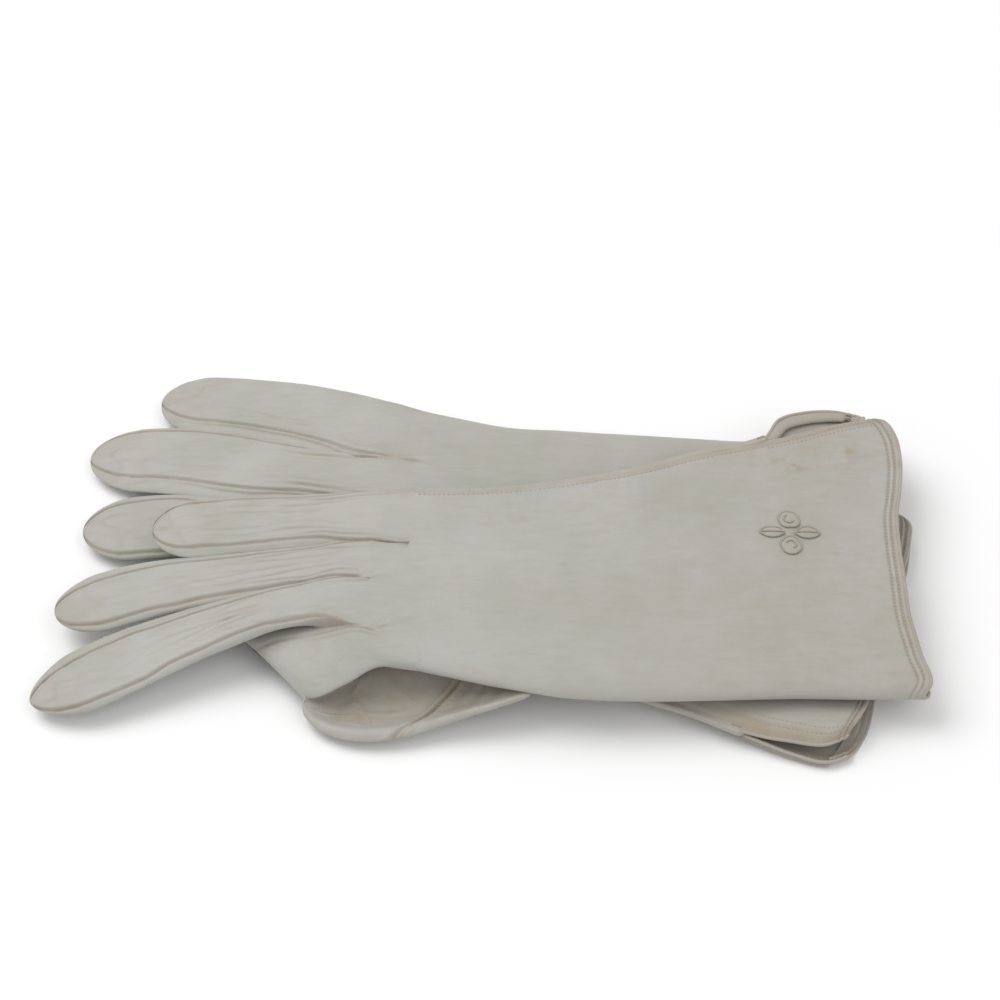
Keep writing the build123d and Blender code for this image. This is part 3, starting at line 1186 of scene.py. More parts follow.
@dataclass
class GloveFinger:
    """One finger: a flattened tube along a curve, level with the hand where it leaves it.

    Attributes:
        name: Name of the finger.
        path: Plan of the middle line, from inside the hand to the tip.
        halves: Half widths at even shares of the path.
        start: Length of path that lies inside the hand.
        droop: Net slope of the finger, in degrees.
        seams: How the far side and the near side are closed.
        seed: Picks the creases.
        thick: Thickness at the knuckle and near the tip.
        point: How blunt the tip is: the power of the round-off.
        bands: Share of the half width that each side's strip takes, far side and near side.
    """

    name: str
    path: Points
    halves: tuple[float, ...]
    start: float
    droop: float
    seams: tuple[Seam, Seam]
    seed: int
    thick: tuple[float, float] = (5.8, 3.3)
    point: float = 2.0
    bands: tuple[float, float] = (0.2, 0.17)

    @property
    def length(self) -> float:
        """Length of the path."""
        q = np.linspace(0, 1, 400)
        return float(np.linalg.norm(np.diff(curve(self.path, q), axis=0), axis=1).sum())

    def surface(self, hand: Hand, rows: int = 170, columns: int = 232) -> Surface:
        """The finger's outer face.

        The section is x = w sgn(c)|c|^e, z = T/2 sgn(s)|s|^e, with c and s the cosine and sine of the
        angle round it. Where the finger leaves the hand the section's top follows the hand's back.

        Args:
            hand: The hand that it grows from.
            rows: Points along the finger.
            columns: Points round it.

        Returns:
            The closed surface, with its seams painted.
        """
        length = self.length
        even = np.linspace(0, 1, rows)
        q = (1 - (1 - even) ** 1.25)[:, None]
        angle = np.linspace(0, 2 * np.pi, columns, endpoint=False)[None, :]
        q, angle = np.broadcast_arrays(q, angle)
        s = q * length - self.start
        c, v = np.cos(angle), np.sin(angle)
        across, over = squared(c, 0.82), squared(v, 0.84)
        tip = min(0.86, 1 - 1.25 * self.halves[-2] / length)
        bluntness = np.clip((q - tip) / (1 - tip), 0, 1)
        close = (1 - bluntness**self.point) ** (1 / self.point)
        width = curve([(i, h) for i, h in enumerate(self.halves)], q)[..., 1] * close
        thick = self.thick[0] + (self.thick[1] - self.thick[0]) * ramp(s, 0.0, 0.8 * length)
        thick = thick * np.maximum(close, 0.0) ** 0.9
        middle = curve(self.path, q)
        aside = across_path(self.path, q, 0.004)
        bulge = 0.35 * ramp(s, 4.0, 22.0) * bell(over, 0.55)
        place = middle + aside * (across * (width + bulge * np.minimum(1, width / 4)))[..., None]
        x, y = place[..., 0], place[..., 1]
        base_x, base_y = (np.array(k) for k in curve(self.path, np.array([self.start / length]))[0])
        crown = float(hand.top(base_x, base_y) - hand.soft(base_x, base_y))
        fall = math.tan(math.radians(self.droop)) * (np.sqrt(np.maximum(s, 0) ** 2 + 64.0) - 8.0)
        round_z = crown - fall - self.thick[0] / 2 + (self.thick[0] - thick) * 0.35 + over * thick / 2
        inside = 0.03 + 0.4 * (1 - ramp(s, -9.0, -6.0))
        share = (1 + np.clip(over / 0.45, -1, 1)) / 2
        flat_z = (hand.top(x, y) - inside) * share + (hand.bottom(x, y) + inside) * (1 - share)
        free = ramp(s, 2.0, 18.0)
        z = flat_z * (1 - free) + round_z * free
        relief, seam = self.relief(s, across, over, width, x, y)
        z = z + relief * np.minimum(1.0, width / 3.0)
        stain = 0.7 * bell(s - 4.0, 10.0) * bell(1 - np.abs(across), 0.2) + 0.25 * bluntness
        stain = np.clip(stain, 0, 1)
        return Surface(np.stack([x, y, z], axis=-1), {"seam": seam, "stain": stain}, closed=True)

    def relief(
        self,
        s: np.ndarray,
        across: np.ndarray,
        over: np.ndarray,
        width: np.ndarray,
        x: np.ndarray,
        y: np.ndarray,
    ) -> tuple[np.ndarray, np.ndarray]:
        """Grooves of the seams, and the soft lines that run from the crotches.

        Args:
            s: Distance from the crotch along the finger.
            across: Place across the finger, -1 to 1.
            over: Place from underneath to on top, -1 to 1.
            width: Half the finger's width.
            x: X in millimetres.
            y: Y in millimetres.

        Returns:
            The change of height, and how much of a seam each place is.
        """
        height = np.zeros_like(s)
        seam = np.zeros_like(s)
        on_top = ramp(over, 0.0, 0.25)
        opening = ramp(s, -1.0, 24.0)
        for sign, kind, band in ((1, self.seams[0], self.bands[0]), (-1, self.seams[1], self.bands[1])):
            if kind is Seam.FOLD:
                continue
            line = 1.0 - band * opening
            off = (sign * across - line) * np.maximum(width, 0.6)
            off = off + 0.35 * rumple(s, s * 0.0 + sign, 8.0, self.seed + 3)
            fade = ramp(s, 1.0, 6.0)
            groove = bell(off, 0.36) * fade
            height -= 0.5 * groove * on_top
            height += 0.26 * bell(off + 0.9, 0.6) * fade * on_top
            height += 0.16 * bell(off - 0.9, 0.6) * fade * on_top
            seam += (0.62 * groove + 0.16 * bell(off - 0.4, 0.9) * fade) * on_top
            for step, shift in enumerate((1.7, 3.1, 5.0)):
                wander = 0.9 * rumple(s, s * 0.0 + 9 * step, 11.0, self.seed + 5)
                broken = ramp(rumple(s, s * 0 + step, 13.0, self.seed), -0.7, 0.1)
                fold = bell(off + shift + wander, 0.34) * bell(s - 20.0 - 9 * step, 19.0) * broken
                height -= (0.36 - 0.07 * step) * fold * on_top
                seam += 0.6 * fold * on_top
            pleat = bell(off - 1.5 - 0.5 * rumple(s, s * 0.0 + 3, 9.0, self.seed + 8), 0.34)
            pleat = pleat * ramp(band * width, 2.2, 3.4) * ramp(s, 6, 14) * (1 - ramp(s, 45, 70)) * on_top
            height -= 0.34 * pleat
            seam += 0.6 * pleat
        for step in range(2):
            drift = 0.45 * (step - 0.5) + 0.35 * rumple(s, s * 0.0 + 5 * step, 19.0, self.seed + 7)
            broken = ramp(rumple(s, s * 0, 16.0, self.seed + step), -0.2, 0.4)
            height -= 0.16 * bell((across - drift) * width, 0.7) * on_top * ramp(s, 10, 25) * broken
        tip = creases(x * 0.55 + y * 0.2, y, 4.2, self.seed + 20) ** 2
        tip = tip * ramp(s, self.length - 36, self.length - 18)
        height -= 0.22 * tip * on_top
        seam += 0.4 * tip * on_top
        soft = 0.16 * rumple(x * 0.5, y, 6.0, self.seed) + 0.05 * rumple(x, y, 2.2, self.seed + 9)
        return height + soft * np.sign(over) * ramp(s, 2, 14), np.clip(seam, 0, 1)

    def build(self, hand: Hand, look: Finishes, nodes: tuple[str, ...], moves: bool) -> None:
        """Makes the finger, either left off any body with its transform baked, or fixed to the hand.

        Args:
            hand: The hand that it grows from.
            look: The finishes.
            nodes: The CAD nodes that it stands for.
            moves: Whether it is left off the hand's body.
        """
        side = hand.side.value
        piece = make_piece(f"{side}_{self.name}_skin", [self.surface(hand)], SHARP)
        body = f"{side}_hand"
        finish_piece(piece, look.kid, "" if moves else body, nodes)
        if moves:
            base = curve(self.path, np.array([self.start - 1.5, self.start + 7.0]) / self.length)
            z = float(hand.top(base[0, 0], base[0, 1])) * MM
            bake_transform(piece)


@dataclass
class FoldedIndex:
    """The right index finger: its base slopes down to a diagonal fold, and the rest lies beneath.

    Attributes:
        inner: Plan and height of the edge beside the middle finger.
        outer: Plan and height of the free edge.
        tip_path: Underside of the folded length, from the fold down to the surface under the hand.
    """

    inner: Points
    outer: Points
    tip_path: Points

    def surface(self, hand: Hand) -> Surface:
        """The sloping base: between the two edges, crowned, and rounded over at the fold.

        Args:
            hand: The right hand.

        Returns:
            The closed surface.
        """
        u = np.linspace(0, 1, 110)[:, None]
        angle = np.linspace(0, 2 * np.pi, 150, endpoint=False)[None, :]
        u, angle = np.broadcast_arrays(u, angle)
        c, v = np.cos(angle), np.sin(angle)
        across, over = squared(c, 0.8), squared(v, 0.8)
        share = ((across + 1) / 2)[..., None]
        low, high = curve(self.outer, u), curve(self.inner, u)
        place = low * (1 - share) + high * share
        x, y = place[..., 0], place[..., 1]
        ends = np.clip((u - 0.93) / 0.07, 0, 1)
        close = np.sqrt(1 - ends**2)
        thick = (3.0 + 2.6 * (1 - ramp(u, 0.0, 0.9))) * close
        crown = 1.5 * (1 - across**2) * (1 - 0.5 * u)
        z = place[..., 2] + crown - 1.6 + over * thick / 2
        inside = 0.03 + 0.5 * (1 - ramp(u, 0.06, 0.16))
        side = (1 + np.sin(np.pi / 2 * np.clip(over / 0.85, -1, 1))) / 2
        flat = (hand.top(x, y) - inside) * side + (hand.bottom(x, y) + inside) * (1 - side)
        free = ramp(u, 0.3, 0.66)
        z = flat * (1 - free) + z * free
        off = (across - 0.55) * 9.0 + 0.5 * rumple(u * 60.0, u * 0.0, 9.0, 33)
        shown = ramp(over, 0, 0.25) * ramp(u, 0.27, 0.4)
        groove = bell(off, 0.5) * shown
        twin = bell(off + 2.0 - 2.5 * (u - 0.5), 0.45) * shown * (1 - ramp(u, 0.7, 0.9))
        z = z - 0.34 * groove - 0.2 * twin + 0.14 * rumple(x, y, 7.0, 31) * np.sign(over)
        groove = 0.7 * groove + 0.5 * twin
        stain = 0.4 * bell(u - 0.15, 0.15) * bell(across - 1, 0.3)
        return Surface(np.stack([x, y, z], -1), {"seam": np.clip(groove, 0, 1), "stain": stain}, closed=True)

    def build(self, hand: Hand, look: Finishes) -> None:
        """Makes the base and the folded length.

        Args:
            hand: The right hand.
            look: The finishes.
        """
        piece = make_piece("right_index_base_skin", [self.surface(hand)], SHARP)
        nodes = ("right_index_base_back", "right_index_base_palm", "right_index_base_fourchette")
        finish_piece(piece, look.kid, "right_hand", nodes)
        flat = flat_pillow(self.tip_path, 6.6, 2.6, 41)
        piece = make_piece("right_index_tip_skin", [flat], SHARP)
        nodes = ("right_index_tip_back", "right_index_tip_palm", "right_index_tip_fourchette")
        finish_piece(piece, look.kid, "right_hand", nodes)


def flat_pillow(path: Points, half: float, height: float, seed: int) -> Surface:
    """A folded-flat finger or thumb: a thin tube that lies on a level surface, round at both ends.

    Args:
        path: Its middle line, on its underside.
        half: Half its width.
        height: Its thickness.
        seed: Picks its creases.

    Returns:
        The closed surface, flat underneath.
    """
    q = np.linspace(0, 1, 90)[:, None]
    angle = np.linspace(0, 2 * np.pi, 96, endpoint=False)[None, :]
    q, angle = np.broadcast_arrays(q, angle)
    c, v = np.cos(angle), np.sin(angle)
    across, over = squared(c, 0.7), squared(v, 0.6)
    close = (1 - np.abs(2 * q - 1) ** 5) ** 0.5
    middle = curve(path, q)
    aside = across_path(path, q, 0.01)
    place = middle[..., :2] + aside * (across * half * close)[..., None]
    x, y = place[..., 0], place[..., 1]
    lift = height * (0.35 + 0.65 * close) * (1 + over) / 2
    z = middle[..., 2] + lift + np.where(over > 0.2, 0.1 * rumple(x, y, 5.0, seed) * close, 0.0)
    seam = bell((np.abs(across) - 0.88) * half, 0.6) * ramp(over, 0, 0.3)
    return Surface(np.stack([x, y, z], -1), {"seam": seam}, closed=True)


@dataclass
class RightThumb:
    """The right thumb: limp leather rolled at its near edge and hollow behind it, under the hand.

    Attributes:
        lip: The rolled edge, from the tip to the hand.
        far: The far edge, hidden under the hand.
        wall: Thickness of the doubled leather.
    """

    lip: Points
    far: Points
    wall: float = 2.0

    def surface(self) -> Surface:
        """The doubled sheet, turned round at the lip: z = middle + face * wall / 2.

        Returns:
            The closed surface, with its seams painted and painted shade over the hollow.
        """
        a = (np.linspace(0, 1, 170))[:, None]
        tau = squared(np.linspace(-1, 1, 171), 1.3)[None, :]
        a, tau = np.broadcast_arrays(a, tau)
        turn = 0.05
        root = np.sqrt(tau**2 + turn**2)
        b = (root - turn) / (math.sqrt(1 + turn**2) - turn)
        face = tau / root
        lip, far = curve(self.lip, a), curve(self.far, a)
        place = lip * (1 - b[..., None]) + far * b[..., None]
        x, y, z = place[..., 0], place[..., 1], place[..., 2]
        hollow = ramp(a, 0.02, 0.25) * (1 - ramp(a, 0.62, 1.0))
        rim = 0.8 * bell(b - 0.09, 0.08) * hollow
        sag = 3.3 * ramp(b, 0.03, 0.34) * (1 - 0.75 * ramp(b, 0.5, 0.98)) * hollow
        ends = np.sqrt(np.clip(np.minimum(a, 1 - a) / 0.035, 0.0, 1.0))
        half = self.wall / 2 * ends
        z = z + rim - sag
        line = (x + 9.0) * 0.78 - (y + 43.1) * 0.62
        down = -(x + 9.0) * 0.62 - (y + 43.1) * 0.78
        left = line - 1.4 + 0.0047 * np.maximum(down, 0.0) ** 2
        right = line - 2.6 + 0.06 * down
        ridge = bell(left, 0.75) + 0.6 * bell(right - 0.8, 0.5)
        groove = bell(left - 0.9, 0.38) + 0.7 * bell(right, 0.35)
        fan = np.sin((line - 2.0) * 1.5) * ramp(line, 1.0, 4.0) * (1 - ramp(line, 12.0, 20.0))
        turned = np.arctan2(y + 52.0, x + 50.0)
        away = np.hypot(x + 50.0, y + 52.0)
        crumple = creases(turned * 30.0, away * 0.3, 4.0, 51) ** 1.6
        crumple = crumple + 0.5 * creases(x + y, away, 3.2, 52) ** 2 + 0.25 * rumple(x, y, 3.1, 53)
        crumple = crumple * (1 - ramp(line, -5.0, -1.0)) * ramp(b, 0.06, 0.25)
        show = np.where(face > 0, 1.0, 0.0)
        z = z + show * (0.5 * ridge - 0.45 * groove + 0.13 * fan * ramp(b, 0.05, 0.3) + 0.42 * crumple - 0.1)
        z = z + face * half
        z = np.maximum(z, np.where(face > 0, 0.9, 0.35))
        # Painted shade: the hollow's inside is darkened from just inside the rim, fading towards the far
        # edge. It is added to the seam value together with the seam lines and the crumple lines.
        shade = 0.5 * (1 - ramp(b, 0.5, 1.0)) * ramp(b, 0.08, 0.3) * hollow
        seam = np.clip(0.7 * groove + 0.2 * ridge + shade + 0.4 * crumple, 0, 1) * show
        # The stain value browns the lip and the side past the seam line. Its last term is painted shade,
        # darker towards the far edge under the hand.
        stain = np.clip(0.35 * bell(b, 0.12) + 0.25 * ramp(line, 0, 10) + 0.5 * ramp(b, 0.1, 0.5), 0, 1)
        return Surface(np.stack([x, y, z], -1), {"seam": seam, "stain": stain}, closed=True)

    def build(self, look: Finishes) -> None:
        """Makes the thumb.

        Args:
            look: The finishes.
        """
        piece = make_piece("right_thumb_skin", [self.surface()], SHARP)
        nodes = ("right_thumb_outer", "right_thumb_inner", "right_thumb_gusset")
        finish_piece(piece, look.kid, "right_thumb", nodes)


# ---------------------------------------------------------------- the ornament


@dataclass
class Ornament:
    """Four padded petals worked on the back of the cuff: two round and two pointed.

    Attributes:
        hand: The hand whose cuff carries it.
        centre: Plan of its middle.
        turn: How far it is turned, in degrees.
        reach: How far the pointed petals reach.
    """

    hand: Hand
    centre: tuple[float, float]
    turn: float
    reach: float = 8.0

    def petal(self, heading: float, root: float, tip: float, half: float, pointed: bool) -> list[Surface]:
        """One petal: a low dome of leather inside an outline cord.

        The outline is x along the petal and y = half sin(pi t)^k, with k 0.5 where it is round.

        Args:
            heading: Direction of the petal in degrees.
            root: Where it starts from the middle.
            tip: Where it ends.
            half: Half its width.
            pointed: Whether it comes to a point.

        Returns:
            The dome and its outline.
        """
        t = np.linspace(0, 1, 33)
        x = root + (tip - root) * (1 - np.cos(np.pi * t)) / 2
        y = half * np.sin(np.pi * t) ** (1.5 if pointed else 1.0)
        loop = np.stack([np.concatenate([x, x[-2:0:-1]]), np.concatenate([y, -y[-2:0:-1]])], axis=1)
        for axis in range(2):
            loop[:, axis] += 0.3 * rumple(loop[:, 0] + 5.0 * axis + heading, loop[:, 1], 1.9, 61)
        middle = np.array([(root + tip) / 2, 0.0])
        share = np.linspace(0.02, 1.0, 9)[:, None, None]
        spots = middle + (loop[None] - middle) * share
        lift = 0.26 * (1 - share[..., 0] ** 2) + 0.02
        dome = self.placed(spots, heading, np.broadcast_to(lift, spots.shape[:2]))
        flat = self.placed(spots, heading, np.full(spots.shape[:2], -0.5))
        crown = np.repeat(dome[:1].mean(axis=1, keepdims=True), dome.shape[1], axis=1)
        skin = np.concatenate([flat[-1:], dome[::-1], crown])
        body = Surface(skin[::-1], closed=True).tint(0.0, 0.4)
        round_it = np.concatenate([loop, loop[:1]])[None]
        lines = [self.placed(round_it, heading, np.full((1, len(loop) + 1), 0.12))[0]]
        if not pointed:
            turn = np.linspace(0.3, 4.4, 24)
            bend = np.stack([middle[0] + (0.5 * half) * np.cos(turn), (0.5 * half) * np.sin(turn)], axis=1)
            lines.append(self.placed(bend[None], heading, np.full((1, 24), 0.42))[0])
        else:
            vein = np.stack([x, np.zeros_like(x)], axis=1)
            lines.append(self.placed(vein[None], heading, 0.45 * np.sin(np.pi * t)[None])[0])
        cords = [cord_along(path, 0.2, 8, 0.8).tint(0.9, 0.0) for path in lines]
        return [body, *cords]

    def placed(self, spots: np.ndarray, heading: float, lift: np.ndarray) -> np.ndarray:
        """Turns plan spots to their petal's heading and lays them on the cuff's back.

        Args:
            spots: X and Y from the ornament's middle, as the last axis.
            heading: Direction of the petal in degrees.
            lift: Height over the leather.

        Returns:
            The points in the hand's frame.
        """
        turn = math.radians(heading + self.turn)
        x = self.centre[0] + spots[..., 0] * math.cos(turn) - spots[..., 1] * math.sin(turn)
        y = self.centre[1] + spots[..., 0] * math.sin(turn) + spots[..., 1] * math.cos(turn)
        z = self.hand.floor + 0.4 + self.hand.height + rise(x, y) - 0.1 + lift
        return np.stack([x, y, z], axis=-1)

    def build(self, look: Finishes) -> None:
        """Makes the four petals.

        Args:
            look: The finishes.
        """
        parts = []
        for heading in (0, 180):
            parts += self.petal(heading, 1.3, self.reach, 1.9, True)
        for heading in (90, 270):
            parts += self.petal(heading, 1.6, 7.4, 2.7, False)
        name = self.hand.side.value
        piece = make_piece(f"{name}_cuff_petals", parts, SHARP)
        finish_piece(piece, look.kid, f"{name}_hand", (f"{name}_cuff_ornament",))


# ---------------------------------------------------------------- the pair


@dataclass
class RightGlove:
    """The right glove, which lies on top with the back of the hand up."""

    look: Finishes

    def hand(self) -> Hand:
        """The hand and cuff."""
        return Hand(
            side=Side.RIGHT,
            floor=9.6,
            index_edge=[
                (112.2, -52.6), (95, -53.2), (80, -53.4), (60, -54.4), (42, -55.2), (29, -55.2),
                (19, -54.5), (11.6, -53.2), (1.5, -51.2), (-8.7, -48.7), (-17.7, -46.4), (-24, -44.2),
            ],
            back_edge=[
                (107, 41.0), (96.5, 38.2), (86.6, 35.0), (76.6, 32.3), (58.5, 27.3), (42, 20.9),
                (20, 15.1), (-1.4, 11.6), (-19, 10.8),
            ],
            palm_edge=[
                (104.6, 44.6), (97.5, 46.6), (89.0, 46.0), (82.0, 43.0), (77.0, 35.0), (58.5, 27.5),
                (42, 21.1), (20, 15.3), (-1.4, 11.8), (-19, 11.0),
            ],
            cuff=[
                (112.2, -52.6), (113.9, -50.8), (112.3, -42), (110.5, -31), (110.2, -18), (110.0, -6),
                (110.4, 5), (112.0, 13.6), (113.2, 25), (112.4, 33.6), (110, 39), (107, 41),
            ],
            knuckles=[
                (-24, -44.2), (-25.5, -40.5), (-26, -36), (-28, -29), (-30.0, -22.1), (-25, -15.5),
                (-20.3, -9.8), (-18.5, 0), (-19, 10.8),
            ],
            index_line=(-24.0, -45.6, -0.24),
            sewn_line=(-19.0, 10.8, 0.04),
            crotches=[(-25.0, -36.0, 18, 1.5), (-31.0, -22.1, 12, 1.3), (-20.5, -9.8, 0, 1.4)],
            vent=0.245,
            droop=2.3,
            gap=0.9,
            seed=3,
            rolled=True,
            marks=[
                (87, 22, 11, 3.5, 0.8), (100, 27, 6, 2, 0.6), (72, 3, 3, 1, 0.6), (74, 8, 4, 1, 0.5),
                (93, -9, 0.8, 0.8, 1.0), (81.1, -2.2, 2.0, 1.6, 0.7),
            ],
        )

    def fingers(self) -> list[GloveFinger]:
        """The three straight fingers."""
        both = (Seam.FOURCHETTE, Seam.FOURCHETTE)
        return [
            GloveFinger(
                "little",
                [(-11, 0.4), (-22, 0.8), (-40, 1.9), (-57, 2.3), (-74, 2.6), (-89.2, 2.5)],
                (10.2, 10.0, 9.2, 9.5, 9.9, 9.8), FINGER_ROOT, 6.6, (Seam.LONG, Seam.FOURCHETTE), 11,
                bands=(0.14, 0.24),
            ),
            GloveFinger(
                "ring",
                [
                    (-17, -15.8), (-28, -15.2), (-41, -13.9), (-54, -14.2), (-67, -14.9), (-88, -16.6),
                    (-113.4, -22.6),
                ],
                (6.9, 6.6, 6.8, 8.2, 9.5, 9.1), FINGER_ROOT, 8.6, both, 12, point=1.9, bands=(0.3, 0.15),
            ),
            GloveFinger(
                "middle",
                [
                    (-20, -30.4), (-31, -28.6), (-44, -25.8), (-54, -26.3), (-70, -30.3), (-95, -39.7),
                    (-117.2, -49.8),
                ],
                (7.8, 7.6, 6.6, 8.1, 9.9, 8.7), FINGER_ROOT, 10.0, both, 13, point=1.7, bands=(0.36, 0.17),
            ),
        ]

    def build(self) -> None:
        """Makes the whole glove."""
        hand = self.hand()
        hand.build(self.look)
        for finger in self.fingers():
            name = f"right_{finger.name}"
            sides = ("thumbward",) if finger.name == "little" else ("thumbward", "littleward")
            nodes = (f"{name}_back", f"{name}_palm", *(f"{name}_fourchette_{s}" for s in sides))
            finger.build(hand, self.look, nodes, True)
        index = FoldedIndex(
            inner=[
                (-11, -35.2, 20.6), (-28, -35.2, 20.2), (-40, -31.5, 16.0), (-52, -29.6, 12.0),
                (-64.2, -29.6, 8.4),
            ],
            outer=[
                (-11, -46.8, 17.5), (-18, -46.3, 17.3), (-27, -45.6, 15.4), (-36, -48.2, 12.0),
                (-43, -49.6, 8.6), (-46.6, -48.4, 6.2),
            ],
            tip_path=[
                (-54.0, -38.2, 4.6), (-50.5, -37.4, 3.7), (-46, -36.7, 2.0), (-38, -36.0, 0.9),
                (-25, -34.9, 0.7), (-8, -33.5, 0.7),
            ],
        )
        index.build(hand, self.look)
        RightThumb(
            lip=[
                (-46.4, -48.0, 5.4), (-46.9, -51.5, 4.2), (-44.6, -55.6, 3.6), (-39.7, -59.2, 3.3),
                (-31.8, -61.3, 3.4), (-21.6, -60.6, 4.0), (-13.9, -58.8, 5.0), (-3.7, -56.6, 8.0),
                (4.0, -55.2, 10.3), (11.6, -53.4, 12.4),
            ],
            far=[
                (-45.5, -46.5, 5.0), (-43, -42.5, 4.8), (-40, -39, 5.6), (-35, -36, 7.0), (-26, -34, 8.4),
                (-16, -34, 9.2), (-8, -36, 9.6), (0, -40, 10.2), (8, -45, 11.0), (15, -49, 12.2),
            ],
        ).build(self.look)
        Ornament(hand, (81.1, -2.2), 0.0).build(self.look)


@dataclass
class LeftGlove:
    """The left glove, which lies underneath, turned away from the right one."""

    look: Finishes

    def hand(self) -> Hand:
        """The hand and cuff."""
        return Hand(
            side=Side.LEFT,
            floor=0.0,
            index_edge=[
                (113.5, 15.5), (104, 25), (92, 34), (78, 41.5), (66, 42.2), (43, 43.4), (20, 44.6),
                (4, 45.8), (-6, 48.0), (-17.5, 50.8),
            ],
            back_edge=[
                (93.2, -60.4), (87.0, -63.6), (76.5, -62.3), (65.5, -59.0), (52.7, -53.0), (42, -49),
                (20, -38), (0, -27), (-27, -19.5),
            ],
            palm_edge=[
                (93.6, -64.4), (87.5, -66.8), (79, -64.8), (66.5, -59.6), (52.7, -53.2), (42, -49.4),
                (20, -38.4), (0, -27.4), (-27, -19.9),
            ],
            cuff=[
                (113.5, 15.5), (115.4, 11.5), (114.6, 3), (111.5, -8), (107, -23), (102, -38),
                (97.6, -53.0), (93.2, -60.4),
            ],
            knuckles=[
                (-17.5, 50.8), (-18.5, 40), (-20, 27.5), (-23, 12), (-25, -2), (-27, -19.5),
            ],
            index_line=(-17.5, 51.4, -0.27),
            sewn_line=(-27.0, -19.5, -0.278),
            crotches=[(-20.5, 29.2, -10, 1.5), (-23.0, 12.8, -12, 1.0), (-26.0, -4.6, -14, 1.0)],
            vent=0.225,
            droop=0.6,
            gap=0.95,
            seed=17,
        )

    def fingers(self) -> list[GloveFinger]:
        """The four fingers."""
        both = (Seam.FOURCHETTE, Seam.FOURCHETTE)
        return [
            GloveFinger(
                "index",
                [(-10, 37.6), (-21, 39.9), (-38, 45.1), (-55, 51.3), (-70, 55.4), (-92.0, 59.4)],
                (9.7, 12.8, 12.3, 11.7, 11.0, 10.2), FINGER_ROOT, 5.7, (Seam.FOLD, Seam.FOURCHETTE), 14,
                bands=(0.1, 0.36),
            ),
            GloveFinger(
                "middle",
                [(-11, 19.4), (-22, 21.8), (-43, 25.6), (-60, 28.8), (-82, 34.6), (-110.2, 37.6)],
                (8.6, 9.2, 11.4, 12.4, 12.2, 10.4), FINGER_ROOT, 4.8, both, 15, bands=(0.12, 0.36),
            ),
            GloveFinger(
                "ring",
                [(-15, 3.2), (-26, 3.9), (-45, 5.2), (-60, 7.0), (-83, 10.9), (-109.6, 9.8)],
                (8.8, 8.9, 8.8, 9.4, 10.9, 10.4), FINGER_ROOT, 4.8, both, 16, point=1.9, bands=(0.22, 0.12),
            ),
            GloveFinger(
                "little",
                [(-18, -14.0), (-29, -13.0), (-45, -12.6), (-62, -12.8), (-86, -13.4)],
                (7.4, 7.5, 7.6, 7.8, 7.8), FINGER_ROOT, 6.6, (Seam.FOURCHETTE, Seam.LONG), 18,
            ),
        ]

    def build(self) -> None:
        """Makes the whole glove."""
        hand = self.hand()
        hand.build(self.look)
        for finger in self.fingers():
            name = f"left_{finger.name}"
            both = ("thumbward", "littleward")
            sides = {"index": both[1:], "little": both[:1]}.get(finger.name, both)
            nodes = (f"{name}_back", f"{name}_palm", *(f"{name}_fourchette_{s}" for s in sides))
            finger.build(hand, self.look, nodes, finger.name in ("index", "middle"))
        thumb = flat_pillow([(31.5, 6.0, 0.0), (0, -1.0, 0.0), (-31.5, -8.0, 0.0)], 10.4, 2.3, 61)
        piece = make_piece("left_thumb_skin", [thumb], SHARP)
        nodes = ("left_thumb_outer", "left_thumb_inner", "left_thumb_gusset")
        finish_piece(piece, self.look.kid, "left_hand", nodes)
        Ornament(hand, (79, -21), -15.5).build(self.look)


# ---------------------------------------------------------------- the set


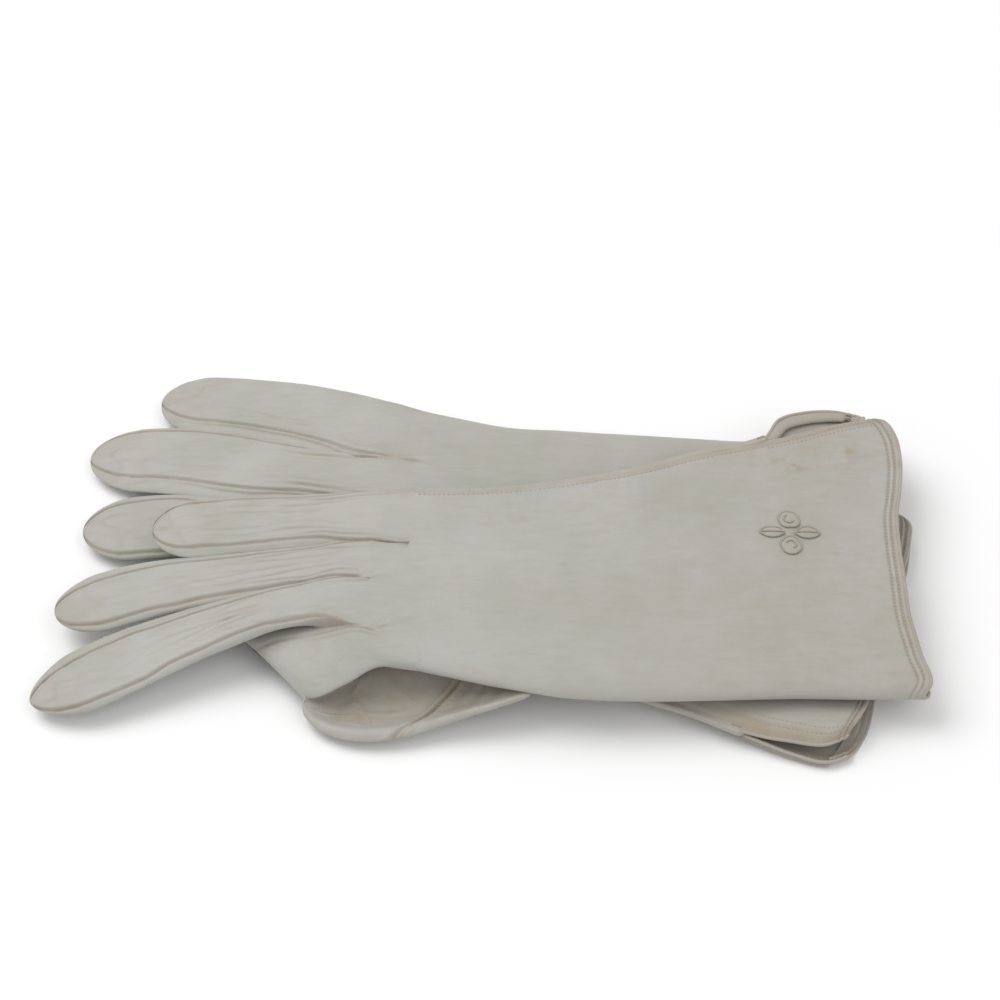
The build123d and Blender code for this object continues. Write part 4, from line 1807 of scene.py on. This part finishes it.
@dataclass
class Studio:
    """A pale floor, soft light and the camera.

    Attributes:
        aim: What the camera looks at, in metres.
        distance: How far away it stands.
        elevation: How far above the floor it looks from, in degrees.
    """

    aim: tuple[float, float, float] = (0.0040, 0.0250, 0.0)
    distance: float = 0.770
    elevation: float = 48.0

    def build(self) -> None:
        """Makes the floor, the lights and the camera."""
        mesh = bpy.data.meshes.new("floor")
        r = 3.0
        mesh.from_pydata([(-r, -r, 0), (r, -r, 0), (r, r, 0), (-r, r, 0)], [], [(0, 1, 2, 3)])
        floor = bpy.data.objects.new("floor", mesh)
        bpy.context.scene.collection.objects.link(floor)
        paper = PlainFinish("floor_paper", (0.90, 0.90, 0.90), (0.905, 0.905, 0.905), 3.0, 0.9)
        mesh.materials.append(paper.build())
        world = bpy.data.worlds.new("studio_air")
        world.use_nodes = True
        world.node_tree.nodes["Background"].inputs[0].default_value = (1.0, 1.0, 1.0, 1.0)
        world.node_tree.nodes["Background"].inputs[1].default_value = 0.62
        bpy.context.scene.world = world
        self.lamp("key", (-0.7, 0.35, 1.3), 1.1, 13.0)
        self.lamp("fill", (0.8, -0.7, 1.2), 1.4, 5.0)
        e = math.radians(self.elevation)
        data = bpy.data.cameras.new("camera")
        data.lens = 100.0
        data.sensor_width = 36.0
        camera = bpy.data.objects.new("camera", data)
        camera.location = (
            self.aim[0],
            self.aim[1] - self.distance * math.cos(e),
            self.aim[2] + self.distance * math.sin(e),
        )
        camera.rotation_euler = (math.pi / 2 - e, 0.0, 0.0)
        bpy.context.scene.collection.objects.link(camera)
        bpy.context.scene.camera = camera
        bpy.context.scene.view_settings.view_transform = "Standard"

    def lamp(self, name: str, place: tuple[float, float, float], size: float, power: float) -> None:
        """A square soft light that faces the gloves.

        Args:
            name: Its name.
            place: Where it stands, in metres.
            size: Length of its side.
            power: Its power in watts.
        """
        data = bpy.data.lights.new(name, "AREA")
        data.size = size
        data.energy = power
        lamp = bpy.data.objects.new(name, data)
        lamp.location = place
        reach = math.hypot(place[0], place[1])
        heading = math.atan2(place[1], place[0]) + math.pi / 2
        lamp.rotation_euler = (math.atan2(reach, place[2]), 0.0, heading)
        bpy.context.scene.collection.objects.link(lamp)


def main() -> None:
    """Builds the two gloves and the set."""
    logging.basicConfig(level=logging.INFO, format="%(name)s: %(message)s")
    look = Finishes()
    for glove in (LeftGlove(look), RightGlove(look)):
        glove.build()
    Studio().build()


if __name__ == "__main__":
    main()
